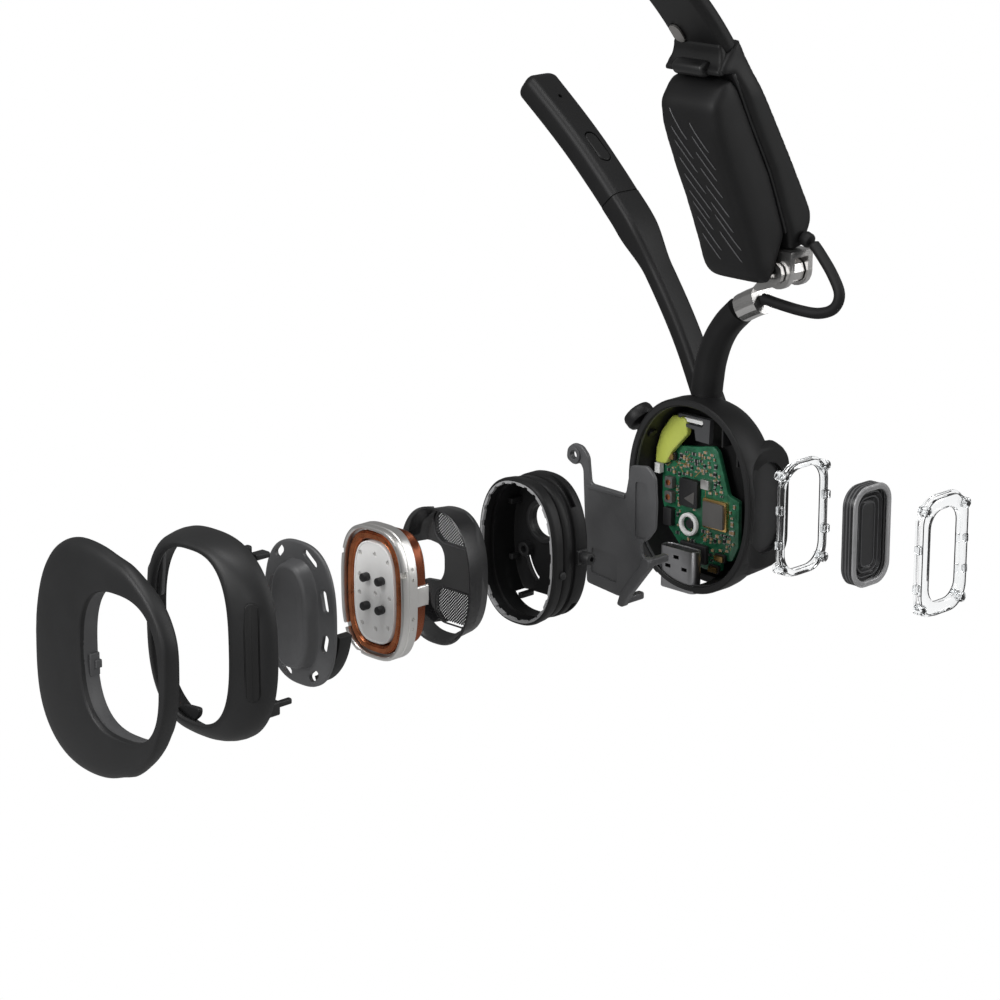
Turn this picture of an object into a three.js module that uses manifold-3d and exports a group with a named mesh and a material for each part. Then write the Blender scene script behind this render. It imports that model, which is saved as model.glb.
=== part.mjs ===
// Right half of an over-head bone conduction headset with a boom microphone, laid out as a
// service view: the ear pod's inner pieces stand in line along its axis, in the order in
// which they slide home. Millimetres, +Z up, +X towards the wearer's left, -Y forwards.
// The origin is the centre of the flat face at the crown, where the mirrored half joins.
import * as THREE from 'three';
import { mergeVertices } from 'three/addons/utils/BufferGeometryUtils.js';
import Module from 'manifold-3d';

const wasm = await Module();
wasm.setup();

// ---- driving dimensions -------------------------------------------------------------
const GAP = 0.3; // clearance between touching pieces

// Headband: an elliptical arch in the X-Z plane, seen from the pod axis
const CROWN_HEIGHT = 119; // crown above the pod axis
const BAND_Y = 11.5; // band centre behind the pod axis
const ARCH_Z = 44; // centre of the arch above the pod axis
const ARCH_A = 87; // half width of the arch
const ARCH_B = CROWN_HEIGHT - ARCH_Z; // height of the arch
const ARCH_END = THREE.MathUtils.degToRad(33.1); // arch parameter where the band stops
const BAND_THICK = 3.2;
const BAND_WIDTH = 12;
const CROWN_WIDTH = 14;

// Ear pod: its axis is parallel to X, and its rim plane is the zero of every pod X below
const RIM_X = -83;
const POD_A = 14.9; // half width of the pod's outline
const POD_B = 18.2; // half height of the pod's outline
const POD_POWER = 2.2; // exponent of the superellipse outline
const POD_DEPTH = 10.5;
const WALL = 1.4;

// How far each piece stands from its seat, along +X
const OUT = {
  cover: 122.1, ring: 111.3, contact: 85.9, transducer: 72.3, mesh: 60.6, basket: 38.9, bracket: 24.7,
};
// How far each port piece stands from its seat, along +Y
const SIDE = { frame: 7.2, radiator: 21, lens: 35.6 };

// Temple hinge, in pod coordinates
const HINGE_Y = 17.4;
const HINGE_Z = 44;
const ARM_X = -5.9; // plane of the ear hook, behind the rim plane

// ---- materials ----------------------------------------------------------------------
const finish = (color, roughness, metalness = 0) => (
  () => new THREE.MeshStandardMaterial({ color, roughness, metalness }));
const charcoal = finish(0x1b1c1e, 0.5);
const rubber = finish(0x202124, 0.8);
const greyPlastic = finish(0x4a4c50, 0.55);
const steel = finish(0xb8babd, 0.28, 1);
const copper = finish(0xb5622f, 0.35, 1);
const gold = finish(0xd9a441, 0.3, 1);
const boardGreen = finish(0x1f5c3a, 0.5);
const cellGreen = finish(0xb9c04a, 0.45);
const chipBlack = finish(0x25272a, 0.6);
const chipGrey = finish(0x6d7175, 0.45);
const white = finish(0xe6e7e8, 0.5);
const clear = finish(0xdfe8ec, 0.1);
const weave = finish(0x2b2c2e, 0.7);

// ---- geometry helpers ---------------------------------------------------------------
const AXES = {
  X: new THREE.Matrix4().makeBasis(new THREE.Vector3(0, 1, 0), new THREE.Vector3(0, 0, 1),
    new THREE.Vector3(1, 0, 0)),
  Y: new THREE.Matrix4().makeBasis(new THREE.Vector3(-1, 0, 0), new THREE.Vector3(0, 0, 1),
    new THREE.Vector3(0, 1, 0)),
  Z: new THREE.Matrix4(),
};

// Extrudes a shape along an axis, from one coordinate to another. A shape for X is drawn in
// (y, z), one for Y in (-x, z) and one for Z in (x, y).
function slab(shape, axis, from, to, bevel = 0, curveSegments = 5) {
  const geometry = new THREE.ExtrudeGeometry(shape, {
    depth: to - from - 2 * bevel, curveSegments, bevelEnabled: bevel > 0,
    bevelThickness: bevel, bevelSize: bevel, bevelOffset: -bevel, bevelSegments: 2,
  });
  geometry.translate(0, 0, from + bevel);
  return geometry.applyMatrix4(AXES[axis]);
}

function polygon(points) {
  return new THREE.Shape(points.map(([u, v]) => new THREE.Vector2(u, v)));
}

// A polygon drawn in (x, z), turned into the (-x, z) that slab() wants for the Y axis.
function sidePolygon(points) {
  return polygon(points.map(([x, z]) => [-x, z]).reverse());
}

function circle(u, v, radius) {
  return new THREE.Shape().absarc(u, v, radius, 0, 2 * Math.PI);
}

// A rectangle with round corners, by half width and half height.
function pill(u, v, halfWidth, halfHeight, corner = Math.min(halfWidth, halfHeight)) {
  const shape = new THREE.Shape();
  const w = halfWidth - corner;
  const h = halfHeight - corner;
  shape.absarc(u + w, v + h, corner, 0, Math.PI / 2);
  shape.absarc(u - w, v + h, corner, Math.PI / 2, Math.PI);
  shape.absarc(u - w, v - h, corner, Math.PI, 1.5 * Math.PI);
  shape.absarc(u + w, v - h, corner, 1.5 * Math.PI, 2 * Math.PI);
  shape.closePath();
  return shape;
}

function frameShape(outer, inner) {
  outer.holes.push(inner);
  return outer;
}

function box(x0, x1, y0, y1, z0, z1) {
  const geometry = new THREE.BoxGeometry(x1 - x0, y1 - y0, z1 - z0);
  return geometry.translate((x0 + x1) / 2, (y0 + y1) / 2, (z0 + z1) / 2);
}

// Joins a list of equal loops of points into one closed surface. Open lists are capped at
// both ends with a fan, and round lists join their last loop to their first.
function loft(loops, round = false) {
  const count = loops[0].length;
  const points = loops.flat();
  const index = [];
  const joins = round ? loops.length : loops.length - 1;
  for (let i = 0; i < joins; i += 1) {
    const next = (i + 1) % loops.length;
    for (let j = 0; j < count; j += 1) {
      const k = (j + 1) % count;
      const [a, b] = [i * count + j, i * count + k];
      const [c, d] = [next * count + j, next * count + k];
      index.push(a, b, d, a, d, c);
    }
  }
  if (!round) {
    for (const [end, flip] of [[0, true], [loops.length - 1, false]]) {
      const middle = new THREE.Vector3();
      for (const point of loops[end]) middle.addScaledVector(point, 1 / count);
      points.push(middle);
      for (let j = 0; j < count; j += 1) {
        const a = end * count + j;
        const b = end * count + ((j + 1) % count);
        if (flip) index.push(points.length - 1, b, a);
        else index.push(points.length - 1, a, b);
      }
    }
  }
  const geometry = new THREE.BufferGeometry().setFromPoints(points);
  geometry.setIndex(index);
  if (signedVolume(geometry) < 0) {
    geometry.setIndex(index.reverse());
  }
  return geometry;
}

function signedVolume(geometry) {
  const place = geometry.attributes.position;
  const corner = [new THREE.Vector3(), new THREE.Vector3(), new THREE.Vector3()];
  let volume = 0;
  for (let i = 0; i < geometry.index.count; i += 3) {
    corner.forEach((point, k) => point.fromBufferAttribute(place, geometry.index.getX(i + k)));
    volume += corner[0].dot(corner[1].cross(corner[2])) / 6;
  }
  return volume;
}

// A loop across the pod axis at pod X, on a superellipse of half width a and half height b.
function podLoop(x, a, b, power = POD_POWER, lift = 0, count = 32) {
  const loop = [];
  for (let i = 0; i < count; i += 1) {
    const turn = (2 * Math.PI * i) / count;
    const y = a * Math.sign(Math.cos(turn)) * Math.abs(Math.cos(turn)) ** (2 / power);
    const z = b * Math.sign(Math.sin(turn)) * Math.abs(Math.sin(turn)) ** (2 / power);
    loop.push(new THREE.Vector3(x, y, z + lift));
  }
  return loop;
}

// Sweeps a flat section along points in one plane. across is that plane's normal, and
// section(t) gives the section's corners as [along across, along the path's side].
function planarSweep(points, across, section) {
  const loops = points.map((point, i) => {
    const before = points[Math.max(i - 1, 0)];
    const after = points[Math.min(i + 1, points.length - 1)];
    const heading = after.clone().sub(before).normalize();
    const side = heading.clone().cross(across).normalize();
    return section(i / (points.length - 1)).map(([u, v]) => (
      point.clone().addScaledVector(across, u).addScaledVector(side, v)));
  });
  return loft(loops);
}

// The corners of a rectangle with round corners, for planarSweep().
function roundSection(width, height, corner, steps = 3) {
  const corners = [];
  for (const [su, sv, start] of [[1, 1, 0], [-1, 1, 1], [-1, -1, 2], [1, -1, 3]]) {
    for (let i = 0; i <= steps; i += 1) {
      const turn = ((start + i / steps) * Math.PI) / 2;
      corners.push([su * (width / 2 - corner) + corner * Math.cos(turn),
        sv * (height / 2 - corner) + corner * Math.sin(turn)]);
    }
  }
  return corners;
}

function smoothPoints(points, count) {
  return new THREE.CatmullRomCurve3(points).getSpacedPoints(count);
}

function inPlane(x, points) {
  return points.map(([y, z]) => new THREE.Vector3(x, y, z));
}

// ---- booleans -----------------------------------------------------------------------
function toSolid(geometry) {
  let bare = geometry.clone();
  bare.deleteAttribute('normal');
  bare.deleteAttribute('uv');
  bare = mergeVertices(bare, 1e-4);
  return new wasm.Manifold(new wasm.Mesh({
    numProp: 3,
    vertProperties: new Float32Array(bare.attributes.position.array),
    triVerts: new Uint32Array(bare.index.array),
  }));
}

function toGeometry(solid) {
  const mesh = solid.getMesh();
  const geometry = new THREE.BufferGeometry();
  geometry.setAttribute('position', new THREE.BufferAttribute(mesh.vertProperties, 3));
  geometry.setIndex(new THREE.BufferAttribute(mesh.triVerts, 1));
  return geometry;
}

function cut(body, ...tools) {
  return toGeometry(tools.reduce((solid, tool) => solid.subtract(toSolid(tool)), toSolid(body)));
}

function join(body, ...others) {
  return toGeometry(others.reduce((solid, other) => solid.add(toSolid(other)), toSolid(body)));
}

// ---- scene graph --------------------------------------------------------------------
const headset = new THREE.Group();
// Everything below is placed from the pod axis, so one group carries it to the crown.
const temple = new THREE.Group();
temple.position.set(0, -BAND_Y, -CROWN_HEIGHT);
headset.add(temple);
const pod = new THREE.Group();
pod.position.x = RIM_X;
temple.add(pod);

function add(parent, name, geometry, material) {
  const mesh = new THREE.Mesh(geometry, material());
  mesh.name = name;
  parent.add(mesh);
  return mesh;
}

function standingOut(distanceX, distanceY = 0) {
  const group = new THREE.Group();
  group.position.set(distanceX, distanceY, 0);
  pod.add(group);
  return group;
}

// ---- headband -----------------------------------------------------------------------
const archPoint = (t) => new THREE.Vector3(-ARCH_A * Math.cos(t), BAND_Y, ARCH_Z + ARCH_B * Math.sin(t));
// Centre and radius of the circle that the arch follows at its end: the size slider's path.
const ARCH_SQUARES = ARCH_A ** 2 - ARCH_B ** 2;
const SLIDE_X = (-ARCH_SQUARES / ARCH_A) * Math.cos(ARCH_END) ** 3;
const SLIDE_Z = ARCH_Z - (ARCH_SQUARES / ARCH_B) * Math.sin(ARCH_END) ** 3;
const ARCH_TIP = archPoint(ARCH_END);
const SLIDE_R = Math.hypot(ARCH_TIP.x - SLIDE_X, ARCH_TIP.z - SLIDE_Z);
const SLIDE_TURN = Math.atan2(ARCH_TIP.z - SLIDE_Z, SLIDE_X - ARCH_TIP.x);

// A bar that follows the slider's circle, by its length past the end of the band.
function sliderBar(from, to, width, thick, steps = 6) {
  const points = [];
  for (let i = 0; i <= steps; i += 1) {
    const turn = SLIDE_TURN - (from + ((to - from) * i) / steps) / SLIDE_R;
    points.push(new THREE.Vector3(SLIDE_X - SLIDE_R * Math.cos(turn), BAND_Y,
      SLIDE_Z + SLIDE_R * Math.sin(turn)));
  }
  return planarSweep(points, new THREE.Vector3(0, 1, 0), () => roundSection(width, thick, 0.3, 1));
}

const SLIDER_LENGTH = 16;
const INLAY_TURN = THREE.MathUtils.degToRad(36); // arch parameter of the band's inlay
const INLAY_SHIFT = -3.2; // the inlay sits towards the front of the band

function addHeadband() {
  const steps = 20;
  const points = [];
  for (let i = 0; i <= steps; i += 1) {
    points.push(archPoint(Math.PI / 2 + ((ARCH_END - Math.PI / 2) * i) / steps));
  }
  const wide = (t) => CROWN_WIDTH + (BAND_WIDTH - CROWN_WIDTH) * Math.min(1, 2 * t);
  // A first loop just past the crown keeps the joint face square to X.
  points.splice(1, 0, new THREE.Vector3(-1, BAND_Y, points[0].z));
  const band = planarSweep(points, new THREE.Vector3(0, 1, 0),
    (t) => roundSection(wide(t), BAND_THICK, 1.2));
  add(temple, 'crown_band', band, charcoal);
  add(temple, 'size_slider', sliderBar(GAP, SLIDER_LENGTH, 6.5, 0.9), steel);
  // The inlay lies on the inner face, whose normal points at the arch's centre.
  const normal = new THREE.Vector3(Math.cos(INLAY_TURN) / ARCH_A, 0, -Math.sin(INLAY_TURN) / ARCH_B);
  normal.normalize();
  const sideways = new THREE.Vector3(0, 1, 0);
  const inlay = add(temple, 'band_inlay', slab(pill(0, 0, 1.2, 2), 'Z', 0, 0.35), white);
  inlay.position.copy(archPoint(INLAY_TURN)).addScaledVector(normal, BAND_THICK / 2 + GAP / 2);
  inlay.position.y += INLAY_SHIFT;
  inlay.quaternion.setFromRotationMatrix(new THREE.Matrix4().makeBasis(
    sideways, normal.clone().cross(sideways), normal));
}

// ---- temple housing, pad and cell -----------------------------------------------------
const TEMPLE_HALF = 7.2; // half width of the housing
const PAD_HALF = 6.3;
// Outer face, then the line on which the housing meets the pad, as (x, z)
const TEMPLE_OUTER = [[-74, 86.2], [-77.6, 80.2], [-82.6, 72.6], [-87.2, 65], [-91, 58.4],
  [-93, 54.4], [-93.2, 52.4], [-91, 48.6]];
const TEMPLE_INNER = [[-87.8, 48.2], [-87.4, 51], [-82.8, 62], [-77.6, 71.3], [-72.8, 79.8],
  [-71.6, 83.6]];
const PAD_OUTLINE = [[-87, 50.6], [-82.4, 61.8], [-77.2, 71.1], [-72.4, 79.8], [-69.8, 81.1],
  [-67.4, 79.6], [-68, 75.4], [-70.2, 69.3], [-73.1, 63.4], [-76.4, 56.4], [-79.2, 49.4],
  [-81, 45.2], [-84.6, 44.1], [-85.2, 47.6]];
const POCKET = [[-78.6, 66.2], [-85.6, 53.2], [-90.4, 55.4], [-84.2, 66.2]];
const CELL = [[-81.6, 65.6], [-86.8, 54.6], [-89.4, 55.8], [-83.6, 65.6]];

function addTemple() {
  const shell = slab(sidePolygon([...TEMPLE_OUTER, ...TEMPLE_INNER]), 'Y',
    BAND_Y - TEMPLE_HALF, BAND_Y + TEMPLE_HALF, 1.5);
  const pocket = slab(sidePolygon(POCKET), 'Y', BAND_Y - 4.4, BAND_Y + 4.4);
  const channel = sliderBar(-4, SLIDER_LENGTH + 0.6, 7.2, 1.6);
  const mouth = sliderBar(-4, 0.05, BAND_WIDTH + 8, 12, 2);
  add(temple, 'temple_housing', cut(shell, pocket, channel, mouth), charcoal);
  const cell = slab(sidePolygon(CELL), 'Y', BAND_Y - 4, BAND_Y + 4);
  add(temple, 'temple_cell', cell, cellGreen);
  const pad = slab(sidePolygon(PAD_OUTLINE), 'Y', BAND_Y - PAD_HALF, BAND_Y + PAD_HALF, 1.6);
  add(temple, 'temple_pad', pad, rubber);
  const clip = slab(sidePolygon([[-71.6, 81.9], [-67.4, 81.9], [-67, 83.6], [-70.9, 84.1]]), 'Y',
    BAND_Y - 3.6, BAND_Y + 3.6, 0.3);
  add(temple, 'pad_clip', clip, charcoal);
}

// ---- temple hinge and cable -----------------------------------------------------------
const CHEEK_R = 3;
const CHEEK = 1.2;
const LINK_HALF = 1.5;
const PIN_R = 1.2;
const EYE_R = 2.4;
const FORK_BASE = 46.8;
const FORK_TOP = 47.9;
const hingeX = RIM_X + ARM_X;
const cheekIn = LINK_HALF + GAP;

function cheekShape() {
  const shape = new THREE.Shape();
  shape.moveTo(HINGE_Y - CHEEK_R, FORK_BASE + 0.4);
  shape.lineTo(HINGE_Y - CHEEK_R, HINGE_Z);
  shape.absarc(HINGE_Y, HINGE_Z, CHEEK_R, Math.PI, 2 * Math.PI);
  shape.lineTo(HINGE_Y + CHEEK_R, FORK_BASE + 0.4);
  shape.closePath();
  shape.holes.push(circle(HINGE_Y, HINGE_Z, PIN_R + GAP));
  return shape;
}

function addTempleHinge() {
  const plate = slab(polygon([[9, FORK_BASE], [HINGE_Y + CHEEK_R, FORK_BASE],
    [HINGE_Y + CHEEK_R, FORK_TOP], [9, FORK_TOP]]), 'X', hingeX - cheekIn - CHEEK, hingeX + cheekIn + CHEEK);
  const left = slab(cheekShape(), 'X', hingeX + cheekIn, hingeX + cheekIn + CHEEK);
  const right = slab(cheekShape(), 'X', hingeX - cheekIn - CHEEK, hingeX - cheekIn);
  add(temple, 'hinge_fork', join(plate, left, right), steel);
  const head = slab(circle(HINGE_Y, HINGE_Z, 2), 'X', hingeX + cheekIn + CHEEK + GAP,
    hingeX + cheekIn + CHEEK + GAP + 0.8);
  const shank = slab(circle(HINGE_Y, HINGE_Z, PIN_R), 'X', hingeX - cheekIn - CHEEK - 0.4,
    hingeX + cheekIn + CHEEK + GAP + 0.4);
  const socket = slab(star(HINGE_Y, HINGE_Z, 6, 1, 0.7), 'X', hingeX + cheekIn + CHEEK + GAP + 0.3,
    hingeX + cheekIn + CHEEK + GAP + 2);
  add(temple, 'hinge_screw', cut(join(head, shank), socket), steel);
}

function star(u, v, points, outer, inner) {
  const corners = [];
  for (let i = 0; i < 2 * points; i += 1) {
    const radius = i % 2 ? inner : outer;
    const turn = (Math.PI * i) / points;
    corners.push([u + radius * Math.cos(turn), v + radius * Math.sin(turn)]);
  }
  return polygon(corners);
}

// Cable between the ear hook's sleeve and the temple housing, as (x, y, z)
const CABLE_R = 1;
const CABLE_ROUTE = [[-88.9, 12.1, 37.9], [-88.9, 14.9, 37.6], [-88.9, 20.3, 37.2],
  [-89.2, 24.4, 37.3], [-89.6, 27.4, 38.6], [-90, 28.2, 41.2], [-90.4, 26.2, 44.3],
  [-90.7, 23.2, 47.4], [-90.8, 21.2, 49.2]];

function addCable() {
  const route = new THREE.CatmullRomCurve3(CABLE_ROUTE.map((point) => new THREE.Vector3(...point)));
  const section = new THREE.Shape();
  for (let i = 0; i < 8; i += 1) {
    const turn = (Math.PI * i) / 4;
    section[i ? 'lineTo' : 'moveTo'](CABLE_R * Math.cos(turn), CABLE_R * Math.sin(turn));
  }
  section.closePath();
  const cable = new THREE.ExtrudeGeometry(section, { steps: 16, extrudePath: route, bevelEnabled: false });
  add(temple, 'cable_loop', cable, rubber);
  const gland = slab(circle(90.8, 49.7, 1.5), 'Y', BAND_Y + TEMPLE_HALF + GAP, 20.6, 0.3);
  add(temple, 'cable_gland', gland, rubber);
}

// ---- ear hook --------------------------------------------------------------------------
const HOOK_ROUTE = [[-1.2, 18.6], [-0.8, 21], [-0.1, 24.6], [1.4, 28.6], [3.6, 32], [6.6, 35]];

function addEarHook() {
  const points = smoothPoints(inPlane(ARM_X, HOOK_ROUTE), 12);
  const across = new THREE.Vector3(1, 0, 0);
  const thick = (t) => 6.4 - 1.7 * Math.min(1, 1.4 * t);
  const hook = planarSweep(points, across, (t) => roundSection(thick(t), thick(t), thick(t) * 0.42));
  add(pod, 'ear_hook', hook, charcoal);
  const collar = planarSweep(inPlane(ARM_X, [[7.3, 35.55], [9.4, 36.7], [11.6, 37.75]]), across,
    () => roundSection(5.2, 5.2, 2.2));
  const linkShape = polygon([[8.2, 37.4], [11.4, 39.4], [19, 42.3], [15.9, 45.8]]);
  const link = slab(linkShape, 'X', ARM_X - LINK_HALF, ARM_X + LINK_HALF);
  const eye = slab(circle(HINGE_Y, HINGE_Z, EYE_R), 'X', ARM_X - LINK_HALF, ARM_X + LINK_HALF);
  const bore = slab(circle(HINGE_Y, HINGE_Z, PIN_R + GAP), 'X', ARM_X - 5, ARM_X + 5);
  add(pod, 'hook_sleeve', cut(join(collar, link, eye), bore), steel);
}

// ---- pod housing ------------------------------------------------------------------------
const PORT_X = -7.4; // centre of the side port
const PORT_HALF_X = 6;
const PORT_HALF_Z = 10.4;
const PORT_Z = -0.9;
const PORT_FACE = 12.6; // Y of the port's flat seat
const KNOB_TURN = THREE.MathUtils.degToRad(141); // where the button stands on the rim
const KNOB_X = -2.8;
const KNOB_REACH = 16.45; // distance of the housing's skin from the axis at the button
const KNOB_STEM_R = 0.9;
const PLUG_X = -1.7; // centre of the charging socket
const PLUG_Y = -3;
const PLUG_FACE = -18.6; // Z of its mouth
const PLUG_BACK = -10.6;
const AXLE_R = 2.6; // the boom's axle, through the housing's back wall

function addHousing() {
  const inset = (x, by) => podLoop(x, POD_A - by, POD_B - by);
  const shell = loft([
    inset(-POD_DEPTH + 1.5, WALL + 2.6), inset(-POD_DEPTH + 2.6, WALL + 1.2), inset(-6.4, WALL + 0.4),
    inset(-4, WALL), inset(0, WALL),
    inset(0, 0.25), inset(-0.3, 0), inset(-3.6, 0), inset(-6.4, 0.5), inset(-8.6, 1.5), inset(-9.8, 2.6),
    inset(-POD_DEPTH, 3.9),
  ]);
  const boss = slab(pill(-PORT_X, PORT_Z, PORT_HALF_X, PORT_HALF_Z, 4.6), 'Y', 11.3,
    PORT_FACE);
  const seat = slab(pill(-PORT_X, PORT_Z, PORT_HALF_X + GAP, PORT_HALF_Z + GAP, 4.6), 'Y',
    PORT_FACE, 20);
  const port = slab(pill(-PORT_X, PORT_Z, 4.4, 8.5), 'Y', 8, 20);
  const plug = plugNotch();
  const knobBore = knobRod(KNOB_STEM_R + GAP, -6, 4);
  const axleBore = slab(circle(0, 0, AXLE_R + GAP), 'X', -POD_DEPTH - 2, -POD_DEPTH + 4);
  add(pod, 'pod_housing', cut(join(shell, boss), seat, port, plug, knobBore, axleBore), charcoal);
}

// The notch that the charging socket stands in.
function plugNotch() {
  return box(-6.2, 2, PLUG_Y - 4.6, PLUG_Y + 4.6, -22, -14);
}

// A rod on the button's radial line, by its distances from the housing's skin.
function knobRod(radius, from, to, bevel = 0) {
  const out = new THREE.Vector3(0, Math.cos(KNOB_TURN), Math.sin(KNOB_TURN));
  const along = new THREE.Vector3(1, 0, 0);
  const turn = new THREE.Matrix4().makeBasis(along, out.clone().cross(along), out);
  turn.setPosition(KNOB_X, out.y * KNOB_REACH, out.z * KNOB_REACH);
  return slab(circle(0, 0, radius), 'Z', from, to, bevel).applyMatrix4(turn);
}

function addButton() {
  const cap = knobRod(2.9, 1.2, 3.8, 0.5);
  const stem = knobRod(KNOB_STEM_R, -1.9, 1.5);
  add(pod, 'front_button', join(cap, stem), charcoal);
}

// ---- inside the housing -----------------------------------------------------------------
const BOARD_FRONT = -6.2;
const CHIP_FRONT = -4.9;
const chipBack = BOARD_FRONT + GAP;
const FITTING_BACK = -5.9; // the cell and the ledge above the board
const FITTING_FRONT = -4.8;
const BOARD_OUTLINE = [[-11.9, -4], [-10.2, -9.2], [-6, -13.4], [-1.6, -15.6], [3, -15],
  [5.6, -12.8], [6.9, -9.6], [6.9, -0.9], [4.3, -0.2], [1.6, 7.6], [0.4, 8.4], [-4.2, 7.4], [-11.6, 6.6],
  [-11.9, 1]];

function addBoard() {
  const outline = polygon(BOARD_OUTLINE);
  for (const [y, z] of [[-2.6, 6.2], [5.9, -8.6], [-9.9, 2.6]]) outline.holes.push(circle(y, z, 0.5));
  add(pod, 'circuit_board', slab(outline, 'X', BOARD_FRONT - 1, BOARD_FRONT), boardGreen);
  const chips = [
    ['sound_processor', [1.6, -4.3, 2.9, 2.8], chipGrey],
    ['memory_chip', [-4.5, -1.3, 2.2, 2.6], chipBlack],
    ['radio_module', [-0.6, 1.1, 1, 0.9], chipGrey],
    ['inductor_upper', [-9.4, -0.2, 0.9, 1.1], chipBlack],
    ['inductor_lower', [-9.4, -3, 0.9, 1.1], chipBlack],
    ['charge_chip', [-9.6, -6.8, 1, 1.7], chipGrey],
  ];
  for (const [name, [y, z, halfY, halfZ], material] of chips) {
    add(pod, name, box(chipBack, CHIP_FRONT, y - halfY, y + halfY, z - halfZ, z + halfZ), material);
  }
  const ring = frameShape(circle(-4.5, -7.3, 2.2), circle(-4.5, -7.3, 1.5));
  add(pod, 'sensor_ring', slab(ring, 'X', chipBack, CHIP_FRONT), white);
  const springs = [[-9.3, 4.9], [3.2, -12.2], [1.8, -14.6]];
  springs.forEach(([y, z], i) => {
    const leaf = box(chipBack, CHIP_FRONT, y - 1, y + 1, z - 0.5, z + 0.5);
    add(pod, `contact_spring_${i + 1}`, leaf, gold);
  });
}

function addChargingSocket() {
  const outer = slab(pill(PLUG_X, PLUG_Y, 1.4, 4.3, 1.2), 'Z', PLUG_FACE, PLUG_BACK);
  const mouth = slab(pill(PLUG_X, PLUG_Y, 1.1, 4, 0.9), 'Z', PLUG_FACE - 1, PLUG_BACK - 0.8);
  add(pod, 'usb_c_shell', cut(outer, mouth), steel);
  const tongue = box(PLUG_X - 0.35, PLUG_X + 0.35, PLUG_Y - 3.3, PLUG_Y + 3.3, PLUG_FACE + 0.8,
    PLUG_BACK - 0.8 - GAP);
  add(pod, 'usb_c_tongue', tongue, chipBlack);
  const cradle = box(chipBack, PLUG_X - 1.4 - GAP, PLUG_Y - 3.2, PLUG_Y + 3.2, -14.2, PLUG_BACK);
  add(pod, 'usb_c_cradle', cradle, chipBlack);
}

function addPodFittings() {
  const cell = polygon([[-12.3, 3.4], [-11, 3.4], [-10.7, 5.6],
    [-7.4, 7.4], [-4.8, 10.4], [-7.2, 10.9], [-7.2, 12.9], [-10.2, 10.4]]);
  add(pod, 'pod_cell', slab(cell, 'X', FITTING_BACK, FITTING_FRONT), cellGreen);
  const tab = polygon([[-12.6, 1.2], [-11.4, 1.2], [-11.4, 3.1], [-12.6, 3.1]]);
  add(pod, 'cell_tab', slab(tab, 'X', FITTING_BACK, FITTING_FRONT), white);
  const ledge = polygon([[-7, 11.4], [-3, 11.2], [-2.6, 9.2], [0.6, 9.1], [0.8, 13.6], [-6.9, 13.6]]);
  ledge.holes.push(pill(-3.6, 12.6, 2.8, 0.7));
  add(pod, 'top_ledge', slab(ledge, 'X', FITTING_BACK, FITTING_FRONT), greyPlastic);
  add(pod, 'status_light', slab(pill(-3.6, 12.6, 2.4, 0.35), 'X', FITTING_BACK, FITTING_FRONT - 0.3), white);
}

// ---- boom -------------------------------------------------------------------------------
const BOOM_X = -14; // plane of the boom's centre line
const HUB_BACK = -15.6;
const HUB_FRONT = -10.8;
const ARM_ROUTE = [[-4.4, 7.6], [-9.6, 18.2], [-14.4, 27.2], [-20.6, 36.6], [-26.6, 44.4], [-30.6, 48.6]];
const HEAD_ROUTE = [[-30.85, 48.85], [-34, 52], [-39.5, 57.2], [-45.4, 62.2], [-51, 66.6]];

function addBoom() {
  const across = new THREE.Vector3(1, 0, 0);
  const turned = [[0, HUB_BACK], [7.6, HUB_BACK], [9.4, HUB_BACK + 0.7], [10.2, HUB_BACK + 2.2],
    [10.2, HUB_FRONT - 0.5], [9.7, HUB_FRONT], [AXLE_R, HUB_FRONT], [AXLE_R, -8.2], [0, -8.2]];
  const hub = new THREE.LatheGeometry(turned.map(([r, x]) => new THREE.Vector2(r, x)), 28);
  // The lathe turns about Y, so Y is brought to X.
  hub.applyMatrix4(new THREE.Matrix4().makeRotationZ(-Math.PI / 2));
  // The arm tapers out of the hub, and widens again towards the head.
  const wide = (t) => 6.2 - 1.5 * Math.min(1, 3 * t) + 1.7 * Math.min(1, Math.max(0, 5 * t - 3.4));
  const thick = (t) => 3.4 - 0.7 * Math.min(1, 3 * t) + 1.1 * Math.min(1, Math.max(0, 5 * t - 3.4));
  const arm = planarSweep(smoothPoints(inPlane(BOOM_X, ARM_ROUTE), 12), across,
    (t) => roundSection(wide(t), thick(t), 1, 2));
  add(pod, 'boom_arm', join(hub, arm), charcoal);
  const head = planarSweep(smoothPoints(inPlane(BOOM_X, HEAD_ROUTE), 8), across,
    (t) => roundSection(6.4 + 0.6 * Math.min(1, 4 * t) - 1.4 * Math.max(0, 8 * t - 7),
      3.6 + 0.8 * Math.min(1, 4 * t) - 1.2 * Math.max(0, 8 * t - 7), 1, 2));
  const button = (grow, from, to) => {
    const shape = slab(pill(0, 0, 1.4 + grow, 3.4 + grow), 'Z', from, to);
    return shape.applyMatrix4(headFrame(-38.2, 55.9));
  };
  const port = slab(circle(0, 0, 0.7), 'Z', -4, 0.2).applyMatrix4(headFrame(-48, 64.2));
  add(pod, 'mic_head', cut(head, button(GAP, 1, 4), port), charcoal);
  add(pod, 'mute_button', button(0, 1.55, 2.75), rubber);
  const capsule = slab(circle(0, 0, 0.4), 'Z', -1.6, -0.3).applyMatrix4(headFrame(-48, 64.2));
  add(pod, 'mic_capsule', capsule, gold);
}

// A frame on the mic head: Z points out of its upper side, and Y along it.
function headFrame(y, z) {
  const along = new THREE.Vector3(0, -0.76, 0.65).normalize();
  const out = new THREE.Vector3(0, 0.65, 0.76).normalize();
  const matrix = new THREE.Matrix4().makeBasis(along.clone().cross(out), along, out);
  return matrix.setPosition(BOOM_X, y, z);
}

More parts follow.
